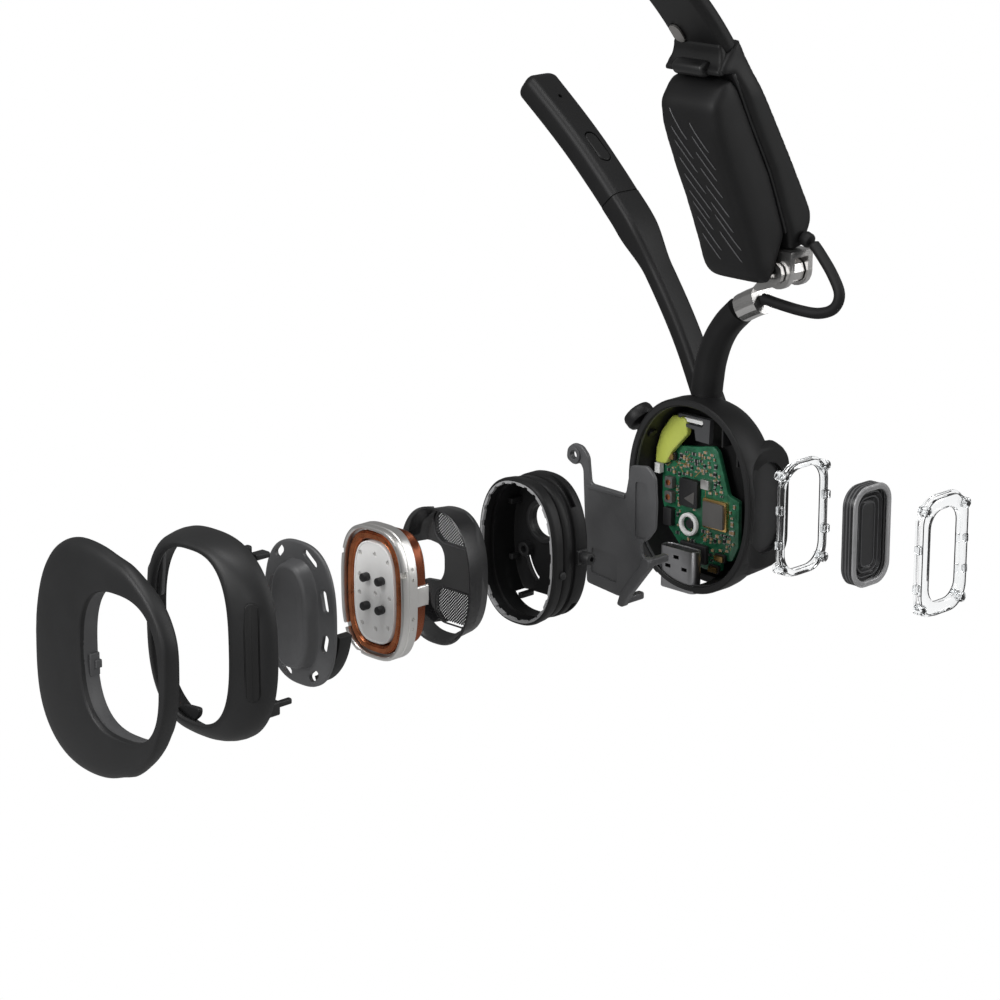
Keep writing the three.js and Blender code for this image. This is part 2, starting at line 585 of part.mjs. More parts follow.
// ---- pieces that slide home along the pod's axis ----------------------------------------
const COVER_FRONT = 10; // front face of the ear cover when seated
const COVER_OUTLINE = [[11.2, 6.4], [8.6, 12.6], [3, 17.4], [-4, 18.6], [-12, 17.6], [-19.6, 12],
  [-24.6, 3], [-25.6, -8], [-20.8, -17.2], [-12.6, -21], [-5, -20.6], [2.4, -15.8], [8.6, -9.4], [11.2, -2]];
const COVER_MIDDLE = new THREE.Vector3(0, 0, -0.1);

function addCover() {
  const group = standingOut(OUT.cover);
  const curve = new THREE.CatmullRomCurve3(COVER_OUTLINE.map(([y, z]) => new THREE.Vector3(0, y, z)), true);
  const edge = curve.getSpacedPoints(360).slice(0, 360);
  const nearest = (heading) => edge.reduce((best, point) => (
    point.clone().sub(COVER_MIDDLE).normalize().dot(heading)
      > best.clone().sub(COVER_MIDDLE).normalize().dot(heading) ? point : best));
  // One loop of points between the opening (share 0) and the outline (share 1), set back by
  // the dome and by depth.
  const loop = (share, depth) => podLoop(0, 9.7, 11.9, 2.6, COVER_MIDDLE.z, 40).map((inner) => {
    const heading = inner.clone().sub(COVER_MIDDLE).normalize();
    const far = share * nearest(heading).distanceTo(inner);
    const point = inner.clone().addScaledVector(heading, far);
    point.x = COVER_FRONT - 0.018 * far ** 1.9 - depth;
    return point;
  });
  // The collar behind the lip, which the contact plate's rim moves in.
  const collar = (grow, depth) => (
    podLoop(COVER_FRONT - depth, 9.7 + grow, 12.6 + grow, 2.7, COVER_MIDDLE.z, 40));
  const shell = loft([loop(0.05, 0), loop(0.4, 0), loop(0.75, 0.1), loop(0.94, 0.5), loop(1, 1.4),
    loop(0.97, 2), collar(1.1, 2.1), collar(1.1, 3.4), collar(0.3, 3.4), collar(0.3, 1), loop(0, 1),
    loop(0, 0.3)], true);
  add(group, 'ear_cover', shell, charcoal);
}

const RING_LIFT = 1.6; // the ring's opening sits above the axis

function addRing() {
  const group = standingOut(OUT.ring);
  const sections = [[GAP, 14.7, 17.7, 0.4], [2.2, 14.7, 17.7, 0.4], [4.2, 13.5, 17.2, 0.7],
    [5.7, 11.3, 16.4, 1.3], [6.2, 10.6, 16, RING_LIFT], [6.2, 9.6, 15.2, RING_LIFT],
    [5.2, 9.6, 15.2, RING_LIFT], [4.4, 10.6, 15.4, 1.2], [3.2, 12.2, 15.8, 0.7], [1.6, 13.2, 16.2, 0.4],
    [GAP, 13.2, 16.2, 0.4]];
  const loops = sections.map(([x, a, b, lift]) => podLoop(x, a, b, a < 10 ? 2.8 : 2.5, lift));
  const recess = ringInsert(GAP, -0.55, 3);
  add(group, 'front_ring', cut(loft(loops, true), recess, plugNotch()), charcoal);
  add(group, 'ring_insert', ringInsert(0, -0.25, 0.25), rubber);
}

// The pill on the ring's rear shoulder, grown by a margin, between two depths.
function ringInsert(margin, from, to) {
  const out = new THREE.Vector3(0.62, 0.785, 0).normalize();
  const along = new THREE.Vector3(0, 0, 1);
  const frame = new THREE.Matrix4().makeBasis(along.clone().cross(out), along, out);
  frame.setPosition(4.55, 12.95, 1.5);
  return slab(pill(0, 0, 1.1 + margin, 8.2 + margin), 'Z', from, to).applyMatrix4(frame);
}

const CONTACT_BACK = 7.5;

function addContactPlate() {
  const group = standingOut(OUT.contact);
  const sections = [[0, 8.6, 12.3], [0.8, 8.6, 12.3], [1.2, 8.2, 11.9], [1.2, 6.4, 10],
    [3.6, 5.6, 9.3], [4, 4.8, 8.5], [3.7, 3.4, 6.9]];
  const rim = loft(sections.map(([x, a, b]) => podLoop(CONTACT_BACK + x, a, b, 2.8)));
  const slots = [];
  for (let i = 0; i < 6; i += 1) {
    const turn = ((i + 0.5) * Math.PI) / 3;
    const onEnd = i % 3 === 1; // the slots at the top and the bottom lie across
    const y = 7.4 * Math.sign(Math.cos(turn)) * Math.abs(Math.cos(turn)) ** 0.7;
    const z = 10.95 * Math.sin(turn);
    const slot = slab(pill(0, 0, 0.45, onEnd ? 2 : 2.6), 'Z', -3, 3, 0, 3);
    slot.applyMatrix4(new THREE.Matrix4().makeRotationZ(onEnd ? Math.PI / 2 : -0.55 * Math.sin(turn) * Math.sign(y)));
    slot.applyMatrix4(AXES.X);
    slot.translate(CONTACT_BACK + 0.6, y, z * (onEnd ? 1 : 0.98));
    slots.push(slot);
  }
  add(group, 'contact_plate', cut(rim, ...slots), charcoal);
  const foam = arcStrip(7.6, 9, 11, 12.3, -1.25, -0.25);
  add(group, 'arc_foam', slab(foam, 'X', 6.5, CONTACT_BACK - GAP), rubber);
}

// A curved strip between two ellipses, from one turn to another.
function arcStrip(a0, a1, b0, b1, from, to) {
  const corners = [];
  const steps = 8;
  for (let i = 0; i <= steps; i += 1) {
    const turn = from + ((to - from) * i) / steps;
    corners.push([a1 * Math.cos(turn), b1 * Math.sin(turn)]);
  }
  for (let i = steps; i >= 0; i -= 1) {
    const turn = from + ((to - from) * i) / steps;
    corners.push([a0 * Math.cos(turn), b0 * Math.sin(turn)]);
  }
  return polygon(corners);
}

const MOTOR_LIFT = -0.3; // the transducer, its screen and its basket sit below the axis

function addTransducer() {
  const group = standingOut(OUT.transducer);
  const band = (name, outer, inner, from, to, material) => {
    const loops = [[from, outer], [to, outer], [to, inner], [from, inner]];
    const section = ([x, [a, b]]) => podLoop(x, a, b, 3, MOTOR_LIFT);
    add(group, name, loft(loops.map(section), true), material);
  };
  band('transducer_frame', [7.7, 11.5], [6.9, 10.8], 2.8, 6.1, steel);
  band('coil_ring', [6.6, 10.5], [5.2, 9.1], 4.6, 5.6, copper);
  const outline = podLoop(0, 4.9, 8.8, 3, MOTOR_LIFT).map(({ y, z }) => new THREE.Vector2(y, z));
  const plate = new THREE.Shape(outline);
  for (const z of [-7.2, -5, 4.6, 6.8]) {
    for (const y of [-2, 2]) plate.holes.push(circle(y, z, 0.35));
  }
  add(group, 'driver_plate', slab(plate, 'X', 4.5, 5.7), steel);
  const studs = [[-1.6, 2.2], [2, 2.2], [-1.6, -2.8], [2, -2.8]];
  studs.forEach(([y, z], i) => {
    add(group, `drive_stud_${i + 1}`, slab(circle(y, z, 0.85), 'X', 5.7 + GAP, 7.3), rubber);
  });
  const coil = [[-1.1, 5.2, 9.1], [-0.5, 6, 9.9], [3.9, 6, 9.9], [4.2, 5.6, 9.5]];
  const barrel = loft(coil.map(([x, a, b]) => podLoop(x, a, b, 3, MOTOR_LIFT)));
  add(group, 'voice_coil', barrel, copper);
}

function addMesh() {
  const group = standingOut(OUT.mesh);
  const outline = podLoop(0, 7.4, 11.2, 2.6, MOTOR_LIFT).map(({ y, z }) => new THREE.Vector2(y, z));
  const frame = new THREE.Shape(outline);
  frame.holes.push(pill(0, MOTOR_LIFT, 5.4, 2.6), pill(0, 6.8, 4.6, 3, 2.4), pill(0, -7.4, 4.6, 3, 2.4));
  add(group, 'mesh_frame', cut(slab(frame, 'X', -2.3, -1.5), plugRoom()), chipBlack);
  for (const [name, z] of [['mesh_upper', 6.8], ['mesh_lower', -7.4]]) {
    add(group, name, slab(pill(0, z, 4.3, 2.7, 2.1), 'X', -2, -1.8), weave);
  }
}

// The room that the pieces in the housing leave for the charging socket.
function plugRoom() {
  return box(-6, PLUG_X + 1.4 + GAP, PLUG_Y - 4.6, PLUG_Y + 4.6, -20, PLUG_BACK + GAP);
}

function addBasket() {
  const group = standingOut(OUT.basket);
  const [back, front] = [-3.4, 5.5];
  const step = (x, grow) => podLoop(x, 9 + grow, 12.9 + grow, 2.8, MOTOR_LIFT);
  const cup = loft([step(back + 1, -1), step(front, -1), step(front, -0.2), step(front - 0.2, 0),
    step(front - 2, 0), step(front - 2.2, -0.4), step(front - 3, -0.4), step(front - 3.2, 0),
    step(front - 5.4, 0), step(front - 5.6, -0.4), step(back + 0.6, -0.4), step(back, -1)]);
  const depth = [back - 1, back + 2];
  const holes = [slab(circle(0, 3, 3.4), 'X', ...depth),
    slab(arcStrip(5, 6.4, 7.6, 9.2, -2.4, -1.7), 'X', ...depth),
    slab(arcStrip(5, 6.4, 7.6, 9.2, -1.4, -0.7), 'X', ...depth), plugRoom()];
  const peg = slab(circle(0.6, -1.2, 1.1), 'Y', 8.2, 10.9);
  add(group, 'basket', cut(join(cup, peg), ...holes), charcoal);
}

const BRACKET_BACK = -4.5;
const BRACKET_FRONT = -3.7;

function addBracket() {
  const group = standingOut(OUT.bracket);
  const plate = polygon([[-5.4, -10], [2.5, -10], [2.5, -13.2], [3.7, -13.2], [4.1, -4.6], [9.6, -4.6],
    [11, 0.6], [11, 5.4], [9.6, 11], [5.6, 11.2], [4.1, 5.6], [-4.8, 5.4], [-5.2, 10.8], [-6.8, 12.2],
    [-8.6, 12.2], [-10, 11], [-10.2, 9.6], [-8.8, 8.7], [-7.2, 9.4], [-6.5, 8.4]]);
  const flange = slab(polygon([[-6.6, -10], [-5.7, -10], [-5.7, 5], [-6.6, 5]]), 'X',
    BRACKET_BACK - 0.3, BRACKET_FRONT);
  const hook = polygon([[2.5, -13], [3.2, -15], [4.6, -14.4], [4.6, -12.8], [9.8, -6.4], [8.8, -5.2],
    [3.4, -12]]);
  const foot = box(-5.9, BRACKET_FRONT, 3.1, 4.5, -14.6, -13.4);
  const arm = box(-8, BRACKET_FRONT, 8.4, 9.6, -6.6, -5.4);
  const solid = join(slab(plate, 'X', BRACKET_BACK, BRACKET_FRONT), flange,
    slab(hook, 'X', BRACKET_BACK, BRACKET_FRONT), foot, arm);
  const hole = slab(circle(-8.5, 10.5, 0.8), 'X', BRACKET_BACK - 1, BRACKET_FRONT + 1);
  add(group, 'bracket_plate', cut(solid, hole), greyPlastic);
}

// ---- side port pieces, sliding home along Y -------------------------------------------------
function addSidePort() {
  const place = (halfX, halfZ, corner) => pill(-PORT_X, PORT_Z, halfX, halfZ, corner);
  const seat = PORT_FACE + GAP;
  const inner = frameShape(place(6.1, PORT_HALF_Z, 4.4), place(5.3, 9.4, 3.8));
  add(standingOut(0, SIDE.frame), 'port_frame', slab(inner, 'Y', seat, seat + 1.4), clear);
  const sprung = standingOut(0, SIDE.radiator);
  const rim = frameShape(place(5, 9.1, 3.6), place(3.9, 8, 2.6));
  add(sprung, 'radiator_rim', slab(rim, 'Y', seat, seat + 3), clear);
  add(sprung, 'radiator_cone', slab(place(3.6, 7.7, 2.3), 'Y', seat + 0.3, seat + 2.2, 0.3), rubber);
  const lens = frameShape(place(6.2, PORT_HALF_Z + 0.1, 4.3), place(4, 8.3, 3));
  add(standingOut(0, SIDE.lens), 'port_lens', slab(lens, 'Y', seat + 3.3, seat + 4.4), clear);
}

addHeadband();
addTemple();
addTempleHinge();
addCable();
addEarHook();
addHousing();
addButton();
addBoard();
addChargingSocket();
addPodFittings();
addBoom();
addCover();
addRing();
addContactPlate();
addTransducer();
addMesh();
addBasket();
addBracket();
addSidePort();

export default headset;
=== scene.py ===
"""The looks of a bone conduction headset laid out as a service view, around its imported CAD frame.

Shapes are drawn in millimetres in pod coordinates: s along the ear pod's axis, out of its rim
plane towards the wearer's head, y towards the back of the head, and z up. row() brings them to
the row frame, and every mesh is made there in metres.
"""

import math
import random

import bpy
import bmesh
from mathutils import Matrix, Vector
from mathutils.bvhtree import BVHTree


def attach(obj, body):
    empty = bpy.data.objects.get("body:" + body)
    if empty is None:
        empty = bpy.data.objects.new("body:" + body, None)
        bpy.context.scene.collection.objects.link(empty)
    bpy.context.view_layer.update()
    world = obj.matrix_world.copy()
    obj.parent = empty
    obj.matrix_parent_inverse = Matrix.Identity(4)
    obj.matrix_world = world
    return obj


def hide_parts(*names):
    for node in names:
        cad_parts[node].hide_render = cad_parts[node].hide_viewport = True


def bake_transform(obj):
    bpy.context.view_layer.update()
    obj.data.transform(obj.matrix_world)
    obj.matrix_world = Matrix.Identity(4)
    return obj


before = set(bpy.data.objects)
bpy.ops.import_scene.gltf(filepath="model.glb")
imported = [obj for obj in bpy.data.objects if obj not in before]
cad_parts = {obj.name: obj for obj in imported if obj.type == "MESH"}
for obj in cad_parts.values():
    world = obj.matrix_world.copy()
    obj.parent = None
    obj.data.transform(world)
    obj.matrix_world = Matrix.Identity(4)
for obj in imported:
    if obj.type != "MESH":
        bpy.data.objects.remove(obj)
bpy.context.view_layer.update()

MM = 0.001
POD = Vector((-83, -11.5, -119))  # the middle of the pod's rim plane, in the row frame
MIDDLE_S = -POD.x  # the band's middle plane
OUT = {"cover": 122.1, "bezel": 111.3, "contact": 85.9, "transducer": 72.3, "screen": 60.6,
       "cup": 38.9, "bracket": 24.7}
SIDE = {"port_seat": 7.2, "radiator": 21, "lens": 35.6}


# ---- materials ----------------------------------------------------------------------------
def node(tree, kind, **values):
    made = tree.nodes.new(kind)
    for name, value in values.items():
        if name in made.inputs:
            made.inputs[name].default_value = value
        else:
            setattr(made, name, value)
    return made


LOOKS = {}


def finish(name, colour, roughness, metallic=0.0, grain=9000, bump=0.06, vary=0.12, blotch=160,
           coat=0.0, specular=0.5, transmission=0.0, alpha=1.0):
    """Adds a procedural material. Grain is the fine texture's frequency per metre, and blotch is
    the slow one's."""
    material = bpy.data.materials.new(name)
    material.use_nodes = True
    tree = material.node_tree
    link = tree.links.new
    shader = tree.nodes["Principled BSDF"]
    for socket, value in (("Metallic", metallic), ("Coat Weight", coat), ("Coat Roughness", 0.12),
                          ("Specular IOR Level", specular), ("Transmission Weight", transmission),
                          ("Alpha", alpha)):
        shader.inputs[socket].default_value = value
    place = node(tree, "ShaderNodeTexCoord")
    fine = node(tree, "ShaderNodeTexNoise", Scale=grain, Detail=3.0, Roughness=0.6)
    slow = node(tree, "ShaderNodeTexNoise", Scale=blotch, Detail=4.0, Roughness=0.55)
    for texture in (fine, slow):
        link(place.outputs["Object"], texture.inputs["Vector"])
    dark = [c * (1 - vary) for c in colour] + [1]
    light = [min(1, c * (1 + vary)) for c in colour] + [1]
    ramp = node(tree, "ShaderNodeValToRGB")
    ramp.color_ramp.elements[0].position = 0.3
    ramp.color_ramp.elements[0].color = dark
    ramp.color_ramp.elements[1].position = 0.7
    ramp.color_ramp.elements[1].color = light
    link(slow.outputs["Fac"], ramp.inputs["Fac"])
    link(ramp.outputs["Color"], shader.inputs["Base Color"])
    spread = node(tree, "ShaderNodeMapRange")
    spread.inputs["To Min"].default_value = roughness * (1 - vary * 0.8)
    spread.inputs["To Max"].default_value = min(1, roughness * (1 + vary * 0.8))
    link(slow.outputs["Fac"], spread.inputs["Value"])
    link(spread.outputs["Result"], shader.inputs["Roughness"])
    if bump:
        relief = node(tree, "ShaderNodeBump", Strength=bump, Distance=0.00005)
        link(fine.outputs["Fac"], relief.inputs["Height"])
        link(relief.outputs["Normal"], shader.inputs["Normal"])
    LOOKS[name] = material


finish("charcoal_plastic", (0.0125, 0.0126, 0.0131), 0.5, grain=2600, bump=0.012, specular=0.4)
finish("deep_plastic", (0.0062, 0.0062, 0.0065), 0.5, bump=0.0, specular=0.3)
finish("dark_face", (0.010, 0.0101, 0.0106), 0.42, grain=3600, bump=0.05)
finish("soft_rubber", (0.0065, 0.0065, 0.007), 0.62, grain=3000, bump=0.06, specular=0.3)
finish("pad_skin", (0.0058, 0.0058, 0.0062), 0.56, bump=0.1, grain=3200, specular=0.32)
finish("grey_plastic", (0.058, 0.059, 0.062), 0.46, bump=0.10)
finish("satin_steel", (0.66, 0.65, 0.64), 0.27, 1.0, grain=5000, bump=0.05, vary=0.06)
finish("pale_steel", (0.74, 0.73, 0.71), 0.36, 1.0, grain=5000, bump=0.06, vary=0.05)
finish("dark_steel", (0.40, 0.40, 0.41), 0.36, 1.0, grain=5000, bump=0.05)
finish("copper", (0.50, 0.17, 0.075), 0.28, 1.0, grain=3000, bump=0.08, vary=0.3, blotch=420)
finish("gold", (0.80, 0.52, 0.20), 0.25, 1.0, vary=0.08)
finish("board_green", (0.016, 0.12, 0.058), 0.34, bump=0.12, coat=0.3, vary=0.35, blotch=900)
finish("cell_foil", (0.50, 0.56, 0.10), 0.36, bump=0.05, coat=0.3, vary=0.08)
finish("chip_black", (0.012, 0.012, 0.013), 0.5, bump=0.1)
finish("chip_grey", (0.14, 0.135, 0.13), 0.36, 0.35, bump=0.08, vary=0.08)
finish("white_plastic", (0.78, 0.78, 0.77), 0.4, bump=0.05, vary=0.03)
finish("clear_plastic", (0.97, 0.98, 0.985), 0.03, bump=0.0, vary=0.01, transmission=1.0, specular=0.6)
finish("acoustic_mesh", (0.03, 0.03, 0.033), 0.5, bump=0.1, alpha=0.62)
finish("smoke", (0.012, 0.012, 0.013), 0.35, bump=0.05, alpha=0.86)
finish("tin", (0.30, 0.29, 0.28), 0.35, 0.9, vary=0.1)
finish("plate_grey", (0.78, 0.775, 0.765), 0.5, bump=0.05, vary=0.03)
finish("rim_grey", (0.32, 0.32, 0.325), 0.38, bump=0.08)
finish("bracket_grey", (0.075, 0.0755, 0.078), 0.44, grain=3000, bump=0.04)
finish("slash_grey", (0.10, 0.10, 0.104), 0.4, bump=0.05)
# A lighter grey: painted light on the cover's inner wall, and the colour of the ring's tab.
finish("lit_wall_and_tab_grey", (0.085, 0.0855, 0.088), 0.5, bump=0.06)
finish("gauze_grey", (0.028, 0.028, 0.03), 0.5, bump=0.05)
finish("lip_grey", (0.34, 0.34, 0.345), 0.22, bump=0.03, alpha=0.8)
finish("dome_grey", (0.014, 0.014, 0.015), 0.42, bump=0.03)
finish("barrel_copper", (0.26, 0.085, 0.045), 0.3, 1.0, grain=3000, bump=0.06, vary=0.35)
finish("ink", (0.003, 0.003, 0.0032), 0.6, bump=0.05)
finish("tan", (0.36, 0.24, 0.13), 0.5, bump=0.08, vary=0.3)


# ---- mesh helpers ---------------------------------------------------------------------------
def row(point):
    """Pod coordinates in millimetres to the row frame in metres."""
    return (Vector(point) + POD) * MM


def solid(name, points, faces, weld=0.0):
    """An object with a mesh from pod coordinates, its faces turned outwards."""
    mesh = bpy.data.meshes.new(name)
    mesh.from_pydata([row(p) for p in points], [], faces)
    built = bmesh.new()
    built.from_mesh(mesh)
    if weld:
        bmesh.ops.remove_doubles(built, verts=built.verts, dist=weld)
    bmesh.ops.recalc_face_normals(built, faces=built.faces)
    built.to_mesh(mesh)
    built.free()
    obj = bpy.data.objects.new(name, mesh)
    bpy.context.scene.collection.objects.link(obj)
    return obj


SHARP = 38  # degrees between faces, above which an edge shows


def piece(name, body, look, points, faces, sharp=SHARP, slot=None, replaced=()):
    """A visible piece with its look, which rides on its body."""
    obj = solid(name, points, faces, weld=1e-7)
    obj.data.materials.append(LOOKS[look])
    shade(obj, sharp)
    if body:
        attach(obj, body)
    if replaced:
        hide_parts(*replaced)
    return obj


def shade(obj, degrees=SHARP):
    for polygon in obj.data.polygons:
        polygon.use_smooth = True
    obj.data.set_sharp_from_angle(angle=math.radians(degrees))


def soften(obj, width):
    """Rounds the piece's edges by width, in millimetres."""
    bevel = obj.modifiers.new("round", "BEVEL")
    bevel.width = width * MM
    bevel.segments = 3
    bevel.limit_method = "ANGLE"
    bevel.angle_limit = math.radians(SHARP)
    bevel.harden_normals = False


def settle(obj):
    """Applies the piece's modifiers, and leaves it its one look."""
    look = obj.data.materials[0]
    bpy.context.view_layer.update()
    graph = bpy.context.evaluated_depsgraph_get()
    mesh = bpy.data.meshes.new_from_object(obj.evaluated_get(graph))
    obj.modifiers.clear()
    obj.data = mesh
    mesh.materials.clear()
    mesh.materials.append(look)
    shade(obj)


def carve(obj, *shapes, mode="DIFFERENCE"):
    """Cuts closed shapes, each given as (points, faces), out of the piece, or adds them to it."""
    tools = []
    for k, (points, faces) in enumerate(shapes):
        tool = solid(f"tool_{k}", points, faces)
        cutter = obj.modifiers.new(f"cut_{k}", "BOOLEAN")
        cutter.operation = mode
        cutter.solver = "EXACT"
        cutter.object = tool
        tools.append(tool)
    settle(obj)
    for tool in tools:
        mesh = tool.data
        bpy.data.objects.remove(tool)
        bpy.data.meshes.remove(mesh)


def melt(obj, voxel, rounds):
    """Remeshes the piece finely and smooths it, so that all its edges turn soft."""
    remesh = obj.modifiers.new("remesh", "REMESH")
    remesh.mode = "VOXEL"
    remesh.voxel_size = voxel * MM
    smooth = obj.modifiers.new("smooth", "SMOOTH")
    smooth.factor, smooth.iterations = 0.5, rounds
    settle(obj)


def dress(name, look, width=0.0):
    """A CAD node that stays showing gets its look and softer edges."""
    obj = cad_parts[name]
    obj.data.materials.clear()
    obj.data.materials.append(LOOKS[look])
    if width:
        soften(obj, width)
    shade(obj)


def loft(loops, closed=False):
    """(points, faces) of a surface through equal loops. An open list is capped at its ends."""
    count = len(loops[0])
    points = [p for loop in loops for p in loop]
    faces = []
    for i in range(len(loops) if closed else len(loops) - 1):
        k = (i + 1) % len(loops)
        for j in range(count):
            n = (j + 1) % count
            faces.append((i * count + j, i * count + n, k * count + n, k * count + j))
    if not closed:
        faces.append(tuple(reversed(range(count))))
        faces.append(tuple(range((len(loops) - 1) * count, len(loops) * count)))
    return points, faces


def joined(*shapes):
    """Several (points, faces) shapes as one."""
    points, faces = [], []
    for more_points, more_faces in shapes:
        start = len(points)
        points += list(more_points)
        faces += [tuple(i + start for i in face) for face in more_faces]
    return points, faces


def pod_loop(s, a, b, power, lift, count):
    """A superellipse across the pod's axis."""
    loop = []
    for i in range(count):
        turn = 2 * math.pi * i / count
        c, d = math.cos(turn), math.sin(turn)
        y = a * math.copysign(abs(c) ** (2 / power), c)
        z = b * math.copysign(abs(d) ** (2 / power), d)
        loop.append(Vector((s, y, z + lift)))
    return loop


def turned(profile, off, power, lift, count, closed=False):
    """A surface round the pod's axis through (s, half width, half height) rows, s from off."""
    return loft([pod_loop(off + s, a, b, power, lift, count) for s, a, b in profile], closed)


def pill(u, v, half_u, half_v, corner=None, steps=8):
    """The corners of a rectangle with round corners."""
    r = min(half_u, half_v) if corner is None else corner
    corners = []
    for su, sv, start in ((1, 1, 0), (-1, 1, 1), (-1, -1, 2), (1, -1, 3)):
        for i in range(steps + 1):
            turn = (start + i / steps) * math.pi / 2
            corners.append((u + su * (half_u - r) + r * math.cos(turn),
                            v + sv * (half_v - r) + r * math.sin(turn)))
    return corners


def circle(u, v, radius, count):
    return [(u + radius * math.cos(2 * math.pi * i / count),
             v + radius * math.sin(2 * math.pi * i / count)) for i in range(count)]


def rounded(corners, radius, steps=4):
    """A polygon with its corners rounded off."""
    out = []
    count = len(corners)
    for i, corner in enumerate(corners):
        here = Vector(corner)
        before = Vector(corners[i - 1]) - here
        after = Vector(corners[(i + 1) % count]) - here
        reach = min(radius, before.length * 0.45, after.length * 0.45)
        start, end = here + before.normalized() * reach, here + after.normalized() * reach
        for k in range(steps + 1):
            t = k / steps
            out.append(tuple(start * (1 - t) ** 2 + here * 2 * t * (1 - t) + end * t * t))
    return out


def spline(points, count, closed=False):
    """Evenly spaced points on a Catmull-Rom curve."""
    points = [Vector(p) for p in points]
    n = len(points)
    dense = []
    spans = n if closed else n - 1
    for i in range(spans):
        if closed:
            p0, p1, p2, p3 = (points[(i + k - 1) % n] for k in range(4))
        else:
            p1, p2 = points[i], points[i + 1]
            p0 = points[i - 1] if i else p1 * 2 - p2
            p3 = points[i + 2] if i + 2 < n else p2 * 2 - p1
        for k in range(24):
            t = k / 24
            dense.append(0.5 * ((2 * p1) + (p2 - p0) * t + (2 * p0 - 5 * p1 + 4 * p2 - p3) * t * t
                                + (3 * p1 - p0 - 3 * p2 + p3) * t ** 3))
    dense.append(points[0].copy() if closed else points[-1])
    lengths = [0.0]
    for a, b in zip(dense, dense[1:]):
        lengths.append(lengths[-1] + (b - a).length)
    out, k = [], 0
    steps = count if closed else count - 1
    for i in range(count):
        want = lengths[-1] * i / steps
        while k < len(dense) - 2 and lengths[k + 1] < want:
            k += 1
        span = lengths[k + 1] - lengths[k]
        out.append(dense[k].lerp(dense[k + 1], (want - lengths[k]) / span if span else 0))
    return out


def inset(outline, by):
    """A flat outline moved inwards."""
    count = len(outline)
    area = sum(outline[i - 1][0] * outline[i][1] - outline[i][0] * outline[i - 1][1] for i in range(count))
    side = 1 if area > 0 else -1
    out = []
    for i, (u, v) in enumerate(outline):
        a, b = Vector(outline[i - 1]), Vector(outline[(i + 1) % count])
        along = (b - a).normalized()
        out.append((u - side * along.y * by, v + side * along.x * by))
    return out


AXES = {"X": lambda u, v, w: (w, u, v), "Y": lambda u, v, w: (u, w, v), "Z": lambda u, v, w: (u, v, w)}


def slab(outline, axis, low, high, edge=0.0, steps=4):
    """A flat outline given some depth, with its edges rounded. It is drawn in (y, z) for X,
    (s, z) for Y and (s, y) for Z."""
    place = AXES[axis]
    loops = []
    levels = [(low, 0.0), (high, 0.0)]
    if edge:
        turns = [k * math.pi / 2 / steps for k in range(steps + 1)]
        arc = [(1 - math.sin(turn), 1 - math.cos(turn)) for turn in turns]
        levels = [(low + edge * d, edge * i) for i, d in arc]
        levels += [(high - edge * d, edge * i) for i, d in reversed(arc)]
    for w, by in levels:
        loops.append([Vector(place(u, v, w)) for u, v in (inset(outline, by) if by else outline)])
    return loft(loops)


def tube_section(width, height, corner, steps):
    return pill(0, 0, width / 2, height / 2, corner, steps)


def sweep(points, across, section):
    """A flat section along points in one plane, whose normal is across."""
    across = Vector(across)
    loops = []
    last = len(points) - 1
    for i, point in enumerate(points):
        heading = (points[min(i + 1, last)] - points[max(i - 1, 0)]).normalized()
        side = heading.cross(across).normalized()
        loops.append([point + across * u + side * v for u, v in section(i / last)])
    return loft(loops)


def blunt(section, reach):
    """Lets a swept section shrink over the last share of the way, for a round end."""
    def shaped(t):
        near = min(1, abs(t - 1) / reach)
        size = math.sqrt(max(0.0, 1 - (1 - near) ** 2)) * 0.75 + 0.25
        return [(u * size, v * size) for u, v in section(t)]
    return shaped


def bar(low, high, edge=0.0, corner=0.0):
    """A box between two corners, with rounded edges."""
    (s0, y0, z0), (s1, y1, z1) = low, high
    outline = pill((y0 + y1) / 2, (z0 + z1) / 2, (y1 - y0) / 2, (z1 - z0) / 2, max(corner, 0.01),
                   4 if corner else 1)
    return slab(outline, "X", s0, s1, edge, 3)


def rod(centre, direction, radius, low, high, edge=0.0, count=28, hollow=0.0):
    """A round rod, or a ring if it is hollow, along a direction."""
    out = Vector(direction).normalized()
    across = out.orthogonal().normalized()
    up = out.cross(across)
    base = Vector(centre)

    def ring(size, level):
        return [base + out * level + across * (x * size) + up * (y * size) for x, y in circle(0, 0, 1, count)]
    loops = [ring(radius, low + edge), ring(radius, high - edge)]
    if edge:
        loops = ([ring(radius - edge, low), ring(radius - edge * 0.3, low + edge * 0.3)] + loops
                 + [ring(radius - edge * 0.3, high - edge * 0.3), ring(radius - edge, high)])
    if hollow:
        return loft(loops + [ring(hollow, high), ring(hollow, low)], True)
    return loft(loops)


# ---- camera, floor and light ----------------------------------------------------------------
def seen_or_through(tree, shown, cast, out):
    """Shows one shader directly and through glass, and lights the object with the other."""
    ray = node(tree, "ShaderNodeLightPath")
    most = node(tree, "ShaderNodeMath", operation="MAXIMUM")
    mix = node(tree, "ShaderNodeMixShader")
    tree.links.new(ray.outputs["Is Camera Ray"], most.inputs[0])
    tree.links.new(ray.outputs["Is Transmission Ray"], most.inputs[1])
    tree.links.new(most.outputs[0], mix.inputs[0])
    tree.links.new(cast.outputs[0], mix.inputs[1])
    tree.links.new(shown.outputs[0], mix.inputs[2])
    tree.links.new(mix.outputs[0], out.inputs[0])


def floor_paper():
    """A pale floor that shows white, and lights what is above it only softly."""
    paper = bpy.data.materials.new("floor_paper")
    paper.use_nodes = True
    tree = paper.node_tree
    tree.nodes.clear()
    dull = node(tree, "ShaderNodeBsdfDiffuse", Color=(0.5, 0.5, 0.5, 1))
    glow = node(tree, "ShaderNodeEmission", Color=(1, 1, 1, 1), Strength=1.0)
    seen_or_through(tree, glow, dull, node(tree, "ShaderNodeOutputMaterial"))
    return paper


